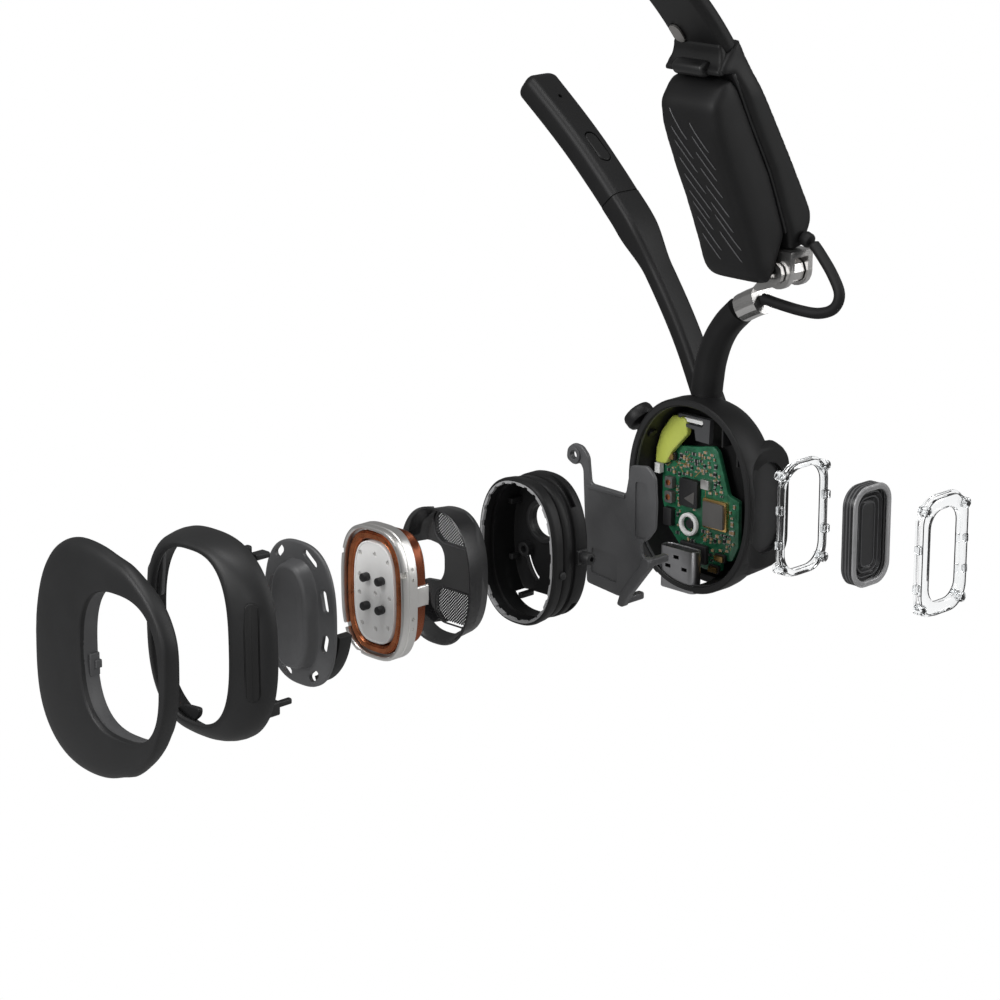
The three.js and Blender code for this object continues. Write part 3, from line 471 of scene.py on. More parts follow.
def studio():
    camera = bpy.data.objects.new("camera", bpy.data.cameras.new("camera"))
    bpy.context.scene.collection.objects.link(camera)
    elevation = math.radians(16.5)
    right = Vector((-1, 1, 0)).normalized()
    back = Vector((math.cos(elevation), math.cos(elevation), math.sqrt(2) * math.sin(elevation))).normalized()
    up = back.cross(right)
    turn = Matrix((right, up, back)).transposed().to_4x4()
    camera.matrix_world = Matrix.Translation((0.35362, 0.37678, 0.05321)) @ turn
    camera.data.lens = 120.42
    camera.data.sensor_width = 36
    camera.data.clip_end = 20
    bpy.context.scene.camera = camera

    world = bpy.data.worlds.new("studio")
    bpy.context.scene.world = world
    world.use_nodes = True
    tree = world.node_tree
    tree.nodes.clear()
    seen = node(tree, "ShaderNodeBackground", Color=(1, 1, 1, 1), Strength=1.0)
    cast = node(tree, "ShaderNodeBackground", Color=(1, 1, 1, 1), Strength=0.22)
    seen_or_through(tree, seen, cast, node(tree, "ShaderNodeOutputWorld"))

    def panel(name, place, aim, width, height, power):
        light = bpy.data.objects.new(name, bpy.data.lights.new(name, "AREA"))
        light.data.shape = "RECTANGLE"
        light.data.size, light.data.size_y = width, height
        light.data.energy = power
        light.location = place
        light.rotation_euler = (Vector(aim) - Vector(place)).to_track_quat("-Z", "Y").to_euler()
        bpy.context.scene.collection.objects.link(light)

    aim = (-0.03, 0, -0.1)
    panel("key", (0.8, -0.1, 0.3), aim, 0.4, 0.5, 6)
    panel("top", (0.1, 0.1, 0.8), aim, 0.5, 0.4, 4.5)
    panel("edge", (-0.6, 0.55, 0.2), aim, 0.12, 0.8, 2.4)
    panel("front", (0.55, 0.6, 0.1), aim, 0.3, 0.3, 1.0)

    sheet = bpy.data.meshes.new("floor")
    sheet.from_pydata([(-6, -6, -0.42), (6, -6, -0.42), (6, 6, -0.42), (-6, 6, -0.42)], [], [(0, 1, 2, 3)])
    floor = bpy.data.objects.new("floor", sheet)
    bpy.context.scene.collection.objects.link(floor)
    sheet.materials.append(floor_paper())
    bpy.context.scene.view_settings.view_transform = "Standard"


# ---- headband and temple --------------------------------------------------------------------
ARCH = (87, 75, 44)  # half width, height and centre of the band's arch
ARCH_END = math.radians(33.1)
BAND_Y = 11.5


def arch_point(turn):
    a, b, z = ARCH
    return Vector((MIDDLE_S - a * math.cos(turn), BAND_Y, z + b * math.sin(turn)))


def slide_bar(low, high, width, thick, steps=24):
    """A bar on the circle that the band follows at its end, by its length past the end."""
    a, b, z = ARCH
    squares = a * a - b * b
    centre = Vector((MIDDLE_S - squares / a * math.cos(ARCH_END) ** 3, BAND_Y,
                     z - squares / b * math.sin(ARCH_END) ** 3))
    tip = arch_point(ARCH_END) - centre
    radius, start = tip.length, math.atan2(tip.z, -tip.x)
    points = []
    for i in range(steps + 1):
        turn = start - (low + (high - low) * i / steps) / radius
        points.append(centre + Vector((-radius * math.cos(turn), 0, radius * math.sin(turn))))
    return sweep(points, (0, 1, 0), lambda t: tube_section(width, thick, 0.3, 2))


def headband():
    steps = 90
    crown = math.pi / 2
    points = [arch_point(crown + (ARCH_END - crown) * i / steps) for i in range(steps + 1)]
    points.insert(1, Vector((MIDDLE_S - 1, BAND_Y, points[0].z)))  # keeps the crown's end square
    section = lambda t: tube_section(14 - 2 * min(1, 2 * t), 3.2, 1.35, 7)
    piece("headband", "crown", "deep_plastic", *sweep(points, (0, 1, 0), section), replaced=["crown_band"])
    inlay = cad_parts["band_inlay"].data.materials
    inlay.clear()
    inlay.append(LOOKS["tin"])


TEMPLE_OUTER = [(-73.8, 87.1), (-77.9, 80.2), (-82.6, 72.6), (-87.2, 65), (-91, 58.4),
                (-93.2, 54.4), (-93.4, 52.2), (-91.4, 48.0)]
TEMPLE_INNER = [(-87.8, 47.8), (-87.4, 51), (-82.8, 62), (-77.6, 71.3), (-74.2, 77.8), (-72.4, 80.6),
                (-70.2, 80.5), (-69.5, 80.9), (-69.9, 82.0), (-71.2, 83.4)]
BROW = [(-71.8, 80.8), (-70.0, 80.3), (-69.1, 80.5), (-69.1, 81.2), (-69.8, 82.0), (-70.2, 82.9),
        (-70.4, 84.1), (-70.2, 85.2), (-70.6, 86.0), (-71.5, 85.2), (-72.2, 84.0), (-72.8, 82.2)]
PAD_OUTLINE = [(-88.0, 50.4), (-83.6, 61.8), (-78.4, 71.1), (-74.8, 77.8), (-72.6, 80.0), (-70.6, 79.6),
               (-67.5, 75.4), (-68.4, 70.6), (-71.6, 63.2), (-75.0, 56), (-77.8, 49.4), (-78.9, 46.4),
               (-79.9, 44.0), (-81.6, 42.4), (-84.0, 41.8), (-85.4, 44.6), (-86.4, 47.6)]


def to_pod(outline):
    """Outlines of the temple are drawn from the band's middle plane."""
    return [(x + MIDDLE_S, z) for x, z in outline]


def ease(t):
    return t * t * (3 - 2 * t)


def narrow(obj, start, reach, share):
    """Narrows the piece upwards to the band's width, from a height over a reach."""
    middle = (BAND_Y + POD.y) * MM
    for vertex in obj.data.vertices:
        high = min(1, max(0, (vertex.co.z / MM - POD.z - start) / reach))
        vertex.co.y = middle + (vertex.co.y - middle) * (1 - share(high))


def temple():
    outline = to_pod(TEMPLE_OUTER) + to_pod(TEMPLE_INNER)
    shell = piece("temple_shell", "temple", "deep_plastic",
                  *slab(outline, "Y", BAND_Y - 7.5, BAND_Y + 7.5), replaced=["temple_housing"])
    melt(shell, 0.45, 22)
    narrow(shell, 76, 8, lambda high: 0.13 * ease(high))
    carve(shell, slide_bar(-4, 16.6, 7.2, 1.6), slide_bar(-4.5, 0.05, 22, 6.4, 8))
    lip = [tuple(p[:2]) for p in spline([(x, z, 0) for x, z in to_pod(TEMPLE_INNER[1:6])], 40)]
    back = [(u - 1.0, v + 0.5) for u, v in reversed(lip)]
    piece("seam_lip", "temple", "dark_face",
          *slab([(u + 0.25, v - 0.12) for u, v in lip] + back, "Y", BAND_Y - 6.7, BAND_Y + 6.7, 0.3, 3))
    brow = piece("temple_brow", "temple", "deep_plastic",
                 *slab(to_pod(BROW), "Y", BAND_Y - 6.2, BAND_Y + 6.2))
    melt(brow, 0.25, 10)
    narrow(brow, 81, 4, lambda high: 0.14 * high)
    clip = rounded(to_pod([(-71.8, 80.4), (-68.9, 79.9), (-67.8, 80.6), (-67.7, 82.0), (-69.6, 83.0)]),
                   0.6, 5)
    piece("pad_latch", "temple", "dark_face", *slab(clip, "Y", BAND_Y - 3.4, BAND_Y + 3.4, 0.5, 4),
          replaced=["pad_clip"])


def temple_pad():
    """The pad is rounded, swells a little by cloth pressure, then gets its raised slashes."""
    outline = to_pod(PAD_OUTLINE)
    pad = piece("head_pad", "temple", "pad_skin", *slab(outline, "Y", BAND_Y - 6.8, BAND_Y + 6.8),
                slot="soft_rubber", replaced=["temple_pad"])
    melt(pad, 0.6, 60)
    last_frame, furthest = 20, 0.35 * MM
    rest = [v.co.copy() for v in pad.data.vertices]
    cloth = pad.modifiers.new("swell", "CLOTH")
    cloth.settings.use_pressure = True
    cloth.settings.uniform_pressure_force = 4
    cloth.settings.effector_weights.gravity = 0
    cloth.settings.quality = 4
    cloth.point_cache.frame_start, cloth.point_cache.frame_end = 1, last_frame
    for step in range(1, last_frame + 1):
        bpy.context.scene.frame_set(step)
    settle(pad)
    bpy.context.scene.frame_set(1)
    for vertex, start in zip(pad.data.vertices, rest):
        moved = vertex.co - start
        if moved.length > furthest:
            vertex.co = start + moved.normalized() * furthest
    smooth = pad.modifiers.new("smooth", "SMOOTH")
    smooth.factor, smooth.iterations = 0.5, 4
    finer = pad.modifiers.new("finer", "SUBSURF")
    finer.levels = finer.render_levels = 1
    settle(pad)
    pad_slashes(pad)


def pad_slashes(pad):
    """Thin raised strokes that lie on the pad's face, found by rays onto its surface."""
    bpy.context.view_layer.update()
    tree = BVHTree.FromObject(pad, bpy.context.evaluated_depsgraph_get())
    top, bottom = (Vector(p) for p in to_pod([(-67.8, 75.6), (-79.0, 45.4)]))
    pitch, length, face_length = 3.1, 7.2, 31.5
    along = (bottom - top).normalized()
    out = Vector((-along.y, along.x)) if -along.y > 0 else Vector((along.y, -along.x))
    strokes = []
    random.seed(7)
    for k in range(9):
        start = 1.5 + k * pitch
        for lane, (y0, y1) in enumerate(((-3.8, 0.2), (0.6, 4.6))):
            if lane and k > 7:
                continue
            shift = random.uniform(-0.5, 0.5)
            strokes.append((start + shift + lane * 1.8, y0, y1, random.uniform(0.72, 1.0)))
    shapes = []
    for start, y0, y1, share in strokes:
        points = []
        for i in range(13):
            t = i / 12
            down = start + t * length * share
            flat = top + along * down
            origin = Vector((flat.x + out.x * 12, BAND_Y + y0 + (y1 - y0) * t * share, flat.y + out.y * 12))
            hit = tree.ray_cast(row(origin), Vector((-out.x, 0, -out.y)))
            if hit[0] is not None and down < face_length:
                points.append(hit[0] / MM - POD)
        if len(points) > 5:
            shapes.append(stroke(points, 0.14))
    piece("pad_slashes", "temple", "slash_grey", *joined(*shapes), slot="soft_rubber")


def stroke(points, radius, count=6):
    """A thin tube through points in space."""
    loops = []
    last = len(points) - 1
    for i, point in enumerate(points):
        heading = (points[min(i + 1, last)] - points[max(i - 1, 0)]).normalized()
        side = side - heading * side.dot(heading) if loops else heading.orthogonal()
        side = side.normalized()
        over = heading.cross(side)
        size = radius * (0.4 if i in (0, last) else 1)
        loops.append([point + side * (u * size) + over * (v * size) for u, v in circle(0, 0, 1, count)])
    return loft(loops)


# ---- hinge, cable and ear hook ----------------------------------------------------------------
ARM_S = -5.9
CABLE_ROUTE = [(-5.9, 11.4, 37.9), (-5.9, 12.4, 37.9), (-5.9, 14.9, 37.6), (-5.9, 20.3, 37.2),
               (-6.2, 24.4, 37.3), (-6.6, 27.4, 38.6), (-7, 28.2, 41.2), (-7.4, 26.2, 44.3),
               (-7.7, 23.2, 47.4), (-7.8, 21.2, 49.2)]


def cable():
    route = spline(CABLE_ROUTE, 60)
    lead = piece("ear_cable", None, "soft_rubber", *stroke(route, 1.0, 20), replaced=["cable_loop"])
    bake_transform(lead)
    piece("cable_boot", "temple", "soft_rubber",
          *rod((-7.8, 19.0, 49.9), (0, 1, -0.35), 1.35, 0, 2.0, 0.5), replaced=["cable_gland"])


def metal_nodes():
    dress("size_slider", "satin_steel")
    for name in ("hinge_fork", "hinge_screw", "hook_sleeve"):
        dress(name, "satin_steel", 0.35)


def ear_hook():
    route = spline([(ARM_S, y, z) for y, z in
                    ((-1.2, 18.2), (-0.8, 21), (-0.1, 24.6), (1.4, 28.6), (3.6, 32), (6.6, 35))], 60)
    thick = lambda t: 5.7 - 0.5 * min(1, 1.4 * t)
    piece("hook_arm", "pod", "deep_plastic",
          *sweep(route, (1, 0, 0), lambda t: tube_section(thick(t), thick(t), thick(t) * 0.46, 8)),
          replaced=["ear_hook"])


# ---- boom ---------------------------------------------------------------------------------------
BOOM_S = -14
ARM_ROUTE = [(-4.4, 7.6), (-9.6, 18.2), (-14.4, 27.2), (-20.6, 36.6), (-26.6, 44.4), (-30.6, 48.6)]
HEAD_ROUTE = [(-30.75, 48.75), (-34, 52), (-39.5, 57.2), (-45.4, 62.2), (-53.4, 68.5)]


def on_boom(points):
    return [(BOOM_S, y, z) for y, z in points]


def head_frame(y, z):
    """A place on the boom's head, the way along the head and the way out of its face."""
    along = Vector((0, -0.76, 0.65)).normalized()
    out = Vector((0, 0.65, 0.76)).normalized()
    return Vector((BOOM_S, y, z)), along, out


def boom():
    swell = lambda t: ease(min(1, max(0, 5 * t - 3.4)))
    wide = lambda t: 6.2 - 0.5 * min(1, 3 * t) + 1.5 * swell(t)
    deep = lambda t: 3.8 - 0.4 * min(1, 3 * t) + 1.6 * swell(t)
    piece("boom_stem", "boom", "deep_plastic",
          *sweep(spline(on_boom(ARM_ROUTE), 80), (1, 0, 0), lambda t: tube_section(wide(t), deep(t), 1.1, 6)),
          replaced=["boom_arm"])
    hub = [(0.01, -15.6), (7.4, -15.6), (8.8, -15.3), (9.7, -14.6), (10.2, -13.4), (10.2, -11.4),
           (9.7, -10.8), (2.6, -10.8), (2.6, -8.2), (0.01, -8.2)]
    loops = [[Vector((s, y, z)) for y, z in circle(0, 0, r, 72)] for r, s in hub]
    piece("boom_hub", "boom", "deep_plastic", *loft(loops), sharp=50)
    head = piece("mic_pod", "boom", "deep_plastic",
                 *sweep(spline(on_boom(HEAD_ROUTE), 90), (1, 0, 0),
                        blunt(lambda t: tube_section(7.4 + 0.5 * t, 5.2, 1.6, 6), 0.07)),
                 replaced=["mic_head"])
    joint = spline(on_boom([(-30.1, 48.1), (-30.7, 48.7), (-31.3, 49.3)]), 8)
    piece("boom_seam", "boom", "ink", *sweep(joint, (1, 0, 0), lambda t: tube_section(6.8, 4.6, 1.2, 6)))
    base, along, out = head_frame(-38.2, 55.9)
    outline = pill(0, 0, 1.4, 3.4, None, 10)

    def plate(points, low, high):
        across = along.cross(out)
        return loft([[base + across * u + along * v + out * level for u, v in points]
                     for level in (low, high)])
    port_base = head_frame(-48, 64.2)[0]
    carve(head, plate([(u * 1.12, v * 1.06) for u, v in outline], 1.5, 5),
          rod(port_base, out, 0.45, 1.2, 5, count=20))
    key = piece("mute_key_cap", "mute_key", "deep_plastic", *plate(outline, 2.05, 2.75), slot="soft_rubber",
                replaced=["mute_button"])
    soften(key, 0.25)


# ---- pod housing --------------------------------------------------------------------------------
PORT_S, PORT_Z, PORT_FACE = -7.4, -0.9, 12.6
PLUG_S, PLUG_Y = -1.7, -3
KNOB_TURN, KNOB_REACH, KNOB_S = math.radians(141), 16.45, -2.8
POD_A, POD_B, WALL = 14.9, 18.2, 1.4


def shell_loop(s, by):
    """The pod's own outline, moved inwards."""
    return pod_loop(s, POD_A - by, POD_B - by, 2.2, 0, 160)


def housing():
    profile = [(-9, WALL + 2.6), (-7.9, WALL + 1.2), (-6.4, WALL + 0.4), (-4, WALL), (-0.15, WALL),
               (0, WALL - 0.15), (0, 0.3), (-0.08, 0.1), (-0.3, 0), (-3.6, 0), (-5.2, 0.18), (-6.4, 0.5),
               (-7.6, 0.97), (-8.6, 1.5), (-9.3, 2.05), (-9.8, 2.6), (-10.25, 3.2), (-10.5, 3.9)]
    shell = piece("pod_shell", "pod", "deep_plastic", *loft([shell_loop(s, by) for s, by in profile]),
                  replaced=["pod_housing"])
    cavity = [shell_loop(s, by) for s, by in ((-9, WALL + 2.6), (-7.9, WALL + 1.2), (-6.4, WALL + 0.4),
                                              (-4, WALL), (1, WALL))]
    face = []
    for y, low, high, half, corner in ((6, -10.3, -0.3, 14.2, 4.5), (9.4, -10.4, -0.3, 13.4, 4.5),
                                       (11.2, -10.4, -0.4, 12.4, 4.5), (11.3, -13.0, -0.5, 12.2, 4.8),
                                       (12.2, -13.4, -1.0, 11.6, 4.8), (PORT_FACE, -13.3, -1.3, 11.2, 4.6)):
        ends = pill((low + high) / 2, PORT_Z, (high - low) / 2, half, corner)
        face.append([Vector((u, y, v)) for u, v in ends])
    carve(shell, loft(face), mode="UNION")
    carve(shell, loft(cavity), slab(pill(PORT_S, PORT_Z, 6.3, 10.7, 4.6), "Y", PORT_FACE, 20),
          slab(pill(PORT_S, PORT_Z, 4.4, 8.5), "Y", 8, 20),
          bar((-6.2, PLUG_Y - 4.6, -22), (2, PLUG_Y + 4.6, -14)),
          rod((0, 0, 0), (1, 0, 0), 2.9, -12.5, -6.5, count=40))
    piece("port_backing", "pod", "chip_black",
          *slab(pill(PORT_S, PORT_Z, 4.7, 8.8), "Y", 11.35, 11.75), slot="acoustic_mesh")
    out = Vector((0, math.cos(KNOB_TURN), math.sin(KNOB_TURN)))
    base = Vector((KNOB_S, out.y * KNOB_REACH, out.z * KNOB_REACH))
    cap = joined(rod(base, out, 2.9, 1.2, 3.8, 0.7, 48), rod(base, out, 0.9, -1.9, 1.5))
    piece("front_key_cap", "front_key", "deep_plastic", *cap, replaced=["front_button"])
    piece("key_collar", "pod", "charcoal_plastic", *rod(base, out, 2.1, -0.6, 0.5, 0.3, 40, 1.3))


# ---- the pieces along the pod's axis --------------------------------------------------------------
COVER_S = 10
COVER_OUTLINE = [(11.2, 6.4), (8.0, 12.0), (2.2, 16.2), (-4.6, 18.2), (-11.6, 18.2), (-18.2, 15.0),
                 (-22.6, 8.6), (-24.3, -1.2), (-25.0, -11.4), (-22.2, -17.0), (-17.2, -20.0),
                 (-10.6, -20.9), (-4.4, -20.2), (2.2, -17.6), (6.8, -13.6), (9.2, -9.2), (10.8, -4.6),
                 (11.3, 1)]


def ear_cover():
    off, count = OUT["cover"], 160
    middle = Vector((0, 0, -0.1))
    edge = spline([(0, y, z) for y, z in COVER_OUTLINE], 1440, True)
    inner = pod_loop(0, 9.7, 11.9, 2.7, middle.z, count)
    headings = [(p - middle).normalized() for p in inner]
    reach = []
    for heading, p in zip(headings, inner):
        best = max(edge, key=lambda q: (q - middle).normalized().dot(heading))
        reach.append((best - p).length)
    for _ in range(14):
        reach = [(reach[i - 1] + 2 * reach[i] + reach[(i + 1) % count]) / 4 for i in range(count)]

    def ring(share, depth):
        loop = []
        for p, heading, full in zip(inner, headings, reach):
            far = share * full
            q = p + heading * far
            loop.append(Vector((off + COVER_S - 0.011 * far ** 1.9 - depth, q.y, q.z)))
        return loop

    def wall(share, down):
        """The rolled side: deep where the flange is narrow, thin where it is wide."""
        loop = ring(share, 1.5)
        for p, full in zip(loop, reach):
            p.x -= 1.9 * down * max(0, 1 - full / 9)
        return loop

    def collar(grow, depth):
        return pod_loop(off + COVER_S - depth, 9.7 + grow, 12.6 + grow, 2.7, middle.z, count)
    loops = [ring(0.0, 0.28), ring(0.02, 0.06), ring(0.05, 0), ring(0.2, 0), ring(0.4, 0), ring(0.6, 0.03),
             ring(0.75, 0.08), ring(0.85, 0.2), ring(0.92, 0.42), ring(0.965, 0.75), ring(0.99, 1.1),
             ring(1, 1.5), wall(0.995, 0.4), wall(0.96, 0.8), wall(0.9, 1), collar(0.7, 3.5),
             collar(0.3, 3.5), collar(0.3, 1), ring(0, 1)]
    piece("cheek_cover", "cover", "charcoal_plastic", *loft(loops, True), sharp=50, replaced=["ear_cover"])
    # Painted light: a lighter grey band lines the cover's opening and stands in for the light that reaches its
    # inner wall. The two small bars on it are the notch and tab.
    lit_wall = [pod_loop(off + s, 9.7 + g, 12.2 + g, 2.7, middle.z, 120)
             for s, g in ((6.3, 0.2), (9.1, 0.2), (9.2, 0.1), (9.1, 0), (6.4, 0), (6.2, 0.1))]
    steps = [bar((off + 6.2, -10.2, -4.4), (off + 8.1, -9.3, -0.6), 0.15, 0.2),
             bar((off + 6.0, -10.0, -3.2), (off + 7.2, -9.0, -1.8), 0.15, 0.2)]
    piece("cover_wall_painted_light", "cover", "lit_wall_and_tab_grey", *joined(loft(lit_wall, True), *steps), slot="grey_plastic")


RING_LIFT = 1.6


def ring_pill(margin, low, high, edge=0.0):
    """The shape of the rubber pad on the front ring's slope, between two depths."""
    base = Vector((OUT["bezel"] + 4.55, 12.95, 1.5))
    out = Vector((0.62, 0.785, 0)).normalized()
    up = Vector((0, 0, 1))
    across = up.cross(out)
    points, faces = slab(pill(0, 0, 1.1 + margin, 8.2 + margin, None, 10), "Z", low, high, edge, 4)
    return [base + across * p.x + up * p.y + out * p.z for p in points], faces


def front_ring():
    off = OUT["bezel"]
    profile = [(0.3, 14.3, 17.0, 0.9), (0.5, 14.5, 17.2, 0.9), (1.3, 14.55, 17.25, 0.9),
               (2.2, 14.45, 17.18, 0.9), (3.2, 14.0, 17.0, 0.95), (4.2, 13.25, 16.7, 1.05),
               (5.0, 12.3, 16.3, 1.2), (5.7, 11.1, 15.8, 1.4), (6.05, 10.4, 15.3, 1.5),
               (6.2, 9.8, 14.9, RING_LIFT), (6.15, 9.3, 14.55, RING_LIFT), (5.95, 9.0, 14.3, RING_LIFT),
               (5.7, 9.1, 14.4, RING_LIFT), (5.2, 9.6, 14.6, RING_LIFT), (4.4, 10.6, 15.0, 1.4),
               (3.2, 12.2, 15.5, 1.0), (1.6, 13.0, 15.8, 0.9), (0.3, 13.0, 15.8, 0.9)]
    loops = [pod_loop(off + s, a, b, 2.5 + 0.3 * min(1, max(0, (s - 3) / 3)), lift, 176)
             for s, a, b, lift in profile]
    ring = piece("bezel_ring", "bezel", "charcoal_plastic", *loft(loops, True), replaced=["front_ring"])
    notch = bar((off - 6, PLUG_Y - 4.6, -22), (off + 2, PLUG_Y + 4.6, -14))
    carve(ring, ring_pill(0.16, -0.55, 3), notch)
    fittings = [bar((off - 0.9, 6.0, 14.8), (off + 0.6, 7.2, 16.6), 0.15, 0.3),
                bar((off - 3.4, 6.6, 14.4), (off - 0.6, 8.6, 15.4), 0.15, 0.3),
                bar((off - 4.4, 11.0, -9.4), (off - 1.5, 12.0, -8.4), 0.15, 0.3),
                bar((off - 1.8, 10.8, -10.6), (off + 1.6, 12.1, -8.2), 0.15, 0.4),
                slab(rounded([(-7.4, -14.2), (-5.6, -12.0), (-3.6, -11.4), (-0.6, -11.2), (-0.8, -12.6),
                              (-3.4, -14.8)], 0.8), "X", off + 3.4, off + 4.3, 0.15)]
    piece("ring_fittings", "bezel", "charcoal_plastic", *joined(*fittings))
    tab = slab(rounded([(-13.2, 4.4), (-9.2, 5.9), (-8.4, 13.2), (-10.4, 13.0), (-12.6, 9.8)], 0.5), "X",
               off + 3.6, off + 4.3, 0.15)
    piece("ring_tab", "bezel", "lit_wall_and_tab_grey", *tab, slot="grey_plastic")
    piece("ring_pad", "bezel", "ink", *ring_pill(-0.05, -0.25, 0.04, 0.2), slot="soft_rubber",
          replaced=["ring_insert"])


CONTACT_S = 7.5


def contact_plate():
    off = OUT["contact"] + CONTACT_S
    profile = [(0.5, 8.4, 12.1), (0.6, 8.6, 12.3), (1.0, 8.6, 12.3), (1.15, 8.45, 12.15), (1.2, 8.2, 11.9),
               (1.2, 5.2, 9.6), (1.25, 4.9, 9.3), (1.6, 4.65, 9.1), (3.0, 4.45, 8.9), (3.5, 4.25, 8.7),
               (3.75, 3.9, 8.35), (3.75, 3.6, 8.05), (3.6, 3.2, 7.6), (3.5, 2, 6)]
    plate = piece("contact_disc", "contact", "bracket_grey", *turned(profile, off, 2.6, 0, 128),
                  slot="charcoal_plastic", replaced=["contact_plate"])
    slots = []
    high, wide = 9.9, 6.2  # of the oval that the slots follow
    for y, z, half in ((-4.5, 9.7, 1.3), (2.9, 9.9, 1.9), (6.3, 3.4, 1.9), (6.2, -3.8, 1.6),
                       (3.4, -10.0, 1.3), (-6.4, 3.4, 1.9), (-6.3, -3.8, 1.9), (-3.2, -10.2, 1.3)):
        place = Vector((y, z))
        heading = Vector((-z / high ** 2, y / wide ** 2)).normalized()
        over = Vector((heading.y, -heading.x))
        corners = [place + heading * v + over * u for u, v in pill(0, 0, 0.7, half, None, 5)]
        slots.append(slab([(p.x, p.y) for p in corners], "X", off - 2, off + 5))
    carve(plate, *slots)
    foam = arc_strip(7.6, 9, 11, 12.3, -1.25, -0.2, 20)
    piece("foam_arc", "contact", "ink", *slab(foam, "X", OUT["contact"] + 5.0, off + 0.2, 0.15, 2),
          slot="soft_rubber", replaced=["arc_foam"])


def arc_strip(a0, a1, b0, b1, low, high, steps=14):
    """A strip between two ovals, from one turn to another."""
    outer, inner = [], []
    for i in range(steps + 1):
        turn = low + (high - low) * i / steps
        outer.append((a1 * math.cos(turn), b1 * math.sin(turn)))
        inner.append((a0 * math.cos(turn), b0 * math.sin(turn)))
    return outer + inner[::-1]


def rim(outer, inner, axis, low, high, edge):
    """A frame between two equal-count outlines, with its four edges rounded."""
    place = AXES[axis]

    def at(outline, by, w):
        return [Vector(place(u, v, w)) for u, v in (inset(outline, by) if by else outline)]
    loops = [at(outer, 0, low + edge), at(outer, 0, high - edge), at(outer, edge * 0.3, high - edge * 0.3),
             at(outer, edge, high), at(inner, -edge, high), at(inner, -edge * 0.3, high - edge * 0.3),
             at(inner, 0, high - edge), at(inner, 0, low + edge), at(inner, -edge, low), at(outer, edge, low)]
    return loft(loops, True)


DRIVER_LIFT = -0.3


def driver(profile, closed=False):
    return turned(profile, OUT["transducer"], 3, DRIVER_LIFT, 112, closed)


def transducer():
    off = OUT["transducer"]
    profile = [(2.8, 7.45, 11.25), (2.9, 7.65, 11.45), (3.2, 7.7, 11.5), (4.6, 7.7, 11.5),
               (4.75, 7.55, 11.35), (4.95, 7.55, 11.35), (5.1, 7.7, 11.5), (5.8, 7.7, 11.5),
               (6.05, 7.6, 11.4), (6.1, 7.45, 11.25), (6.1, 7.1, 10.95), (6.0, 6.95, 10.85),
               (5.8, 6.9, 10.8), (3.0, 6.9, 10.8), (2.8, 7.0, 10.9)]
    hoop = piece("driver_hoop", "transducer", "pale_steel",
                 *driver(profile, True), slot="satin_steel", replaced=["transducer_frame"])
    gaps = [bar((off + 5.2, y - 0.5, z - 0.5), (off + 7, y + 0.5, z + 0.5))
            for y, z in ((-7.3, 5.6), (7.3, 4.4), (-3.4, -11.6), (5.2, 10.4), (-6.6, -7.4))]
    dots = [rod((off + 3.9, 7.7, z), (0, 1, 0), 0.3, -0.4, 0.6, count=14) for z in (-5.4, -3.6, 3.2, 5)]
    dots += [rod((off + 3.9, y, -11.8), (0, 0, -1), 0.3, -0.4, 0.6, count=14) for y in (-3, 0.4, 3.4)]
    carve(hoop, *gaps, *dots)

    turns = 5
    profile = [(4.6, 6.55, 10.45), (5.2, 6.6, 10.5)]
    for k in range(turns * 4 + 1):
        share = k / (turns * 4)
        height = 5.35 + 0.13 * abs(math.sin(share * turns * math.pi)) + 0.35 * math.sin(share * math.pi)
        profile.append((min(5.7, height), 6.55 - 1.3 * share, 10.45 - 1.3 * share))
    profile += [(5.2, 5.2, 9.1), (4.6, 5.25, 9.15)]
    piece("copper_coil", "transducer", "copper", *driver(profile, True), replaced=["coil_ring"])

    profile = [(4.4, 4.85, 8.75), (5.4, 4.9, 8.8), (5.65, 4.85, 8.75), (5.72, 4.75, 8.65), (5.7, 4.6, 8.5),
               (5.58, 4.5, 8.4), (5.55, 4.3, 8.2), (5.55, 2, 5.5)]
    plate = piece("vibrating_plate", "transducer", "plate_grey", *driver(profile), slot="white_plastic",
                  replaced=["driver_plate"])
    holes = [rod((off, y, z), (1, 0, 0), 0.42, 5.0, 7, count=18)
             for y, z in ((-3.3, 6), (0.2, 6.4), (3.3, 5.6), (-3.5, 2.2), (-3.6, -1), (3.6, -0.6),
                          (-3.1, -6.2), (0.2, -6.6), (3.2, -5.8), (0.2, -0.4))]
    carve(plate, *holes)
    for number, (y, z) in enumerate(((-1.6, 2.2), (2, 2.2), (-1.6, -2.8), (2, -2.8)), 1):
        piece(f"black_stud_{number}", "transducer", "chip_black",
              *rod((off, y, z), (1, 0, 0), 0.74, 5.5, 6.9, 0.18, 32), replaced=[f"drive_stud_{number}"])

    profile = [(-1.1, 5.2, 9.1), (-0.85, 5.6, 9.5), (-0.5, 5.95, 9.85), (-0.3, 6, 9.9)]
    for k in range(22):
        s = -0.2 + k * 0.19
        profile += [(s, 6, 9.9), (s + 0.095, 5.93, 9.83)]
    profile += [(4.0, 5.9, 9.8), (4.2, 5.6, 9.5)]
    piece("copper_barrel", "transducer", "barrel_copper", *driver(profile), slot="copper",
          replaced=["voice_coil"])
    piece("barrel_clip", "transducer", "pale_steel",
          *joined(bar((off - 0.9, 5.9, -2.4), (off + 2.7, 6.35, 1.2), 0.12, 0.3),
                  bar((off - 1.1, 3.2, -1.8), (off - 0.8, 6.2, 0.6), 0.1, 0.2)), slot="satin_steel")


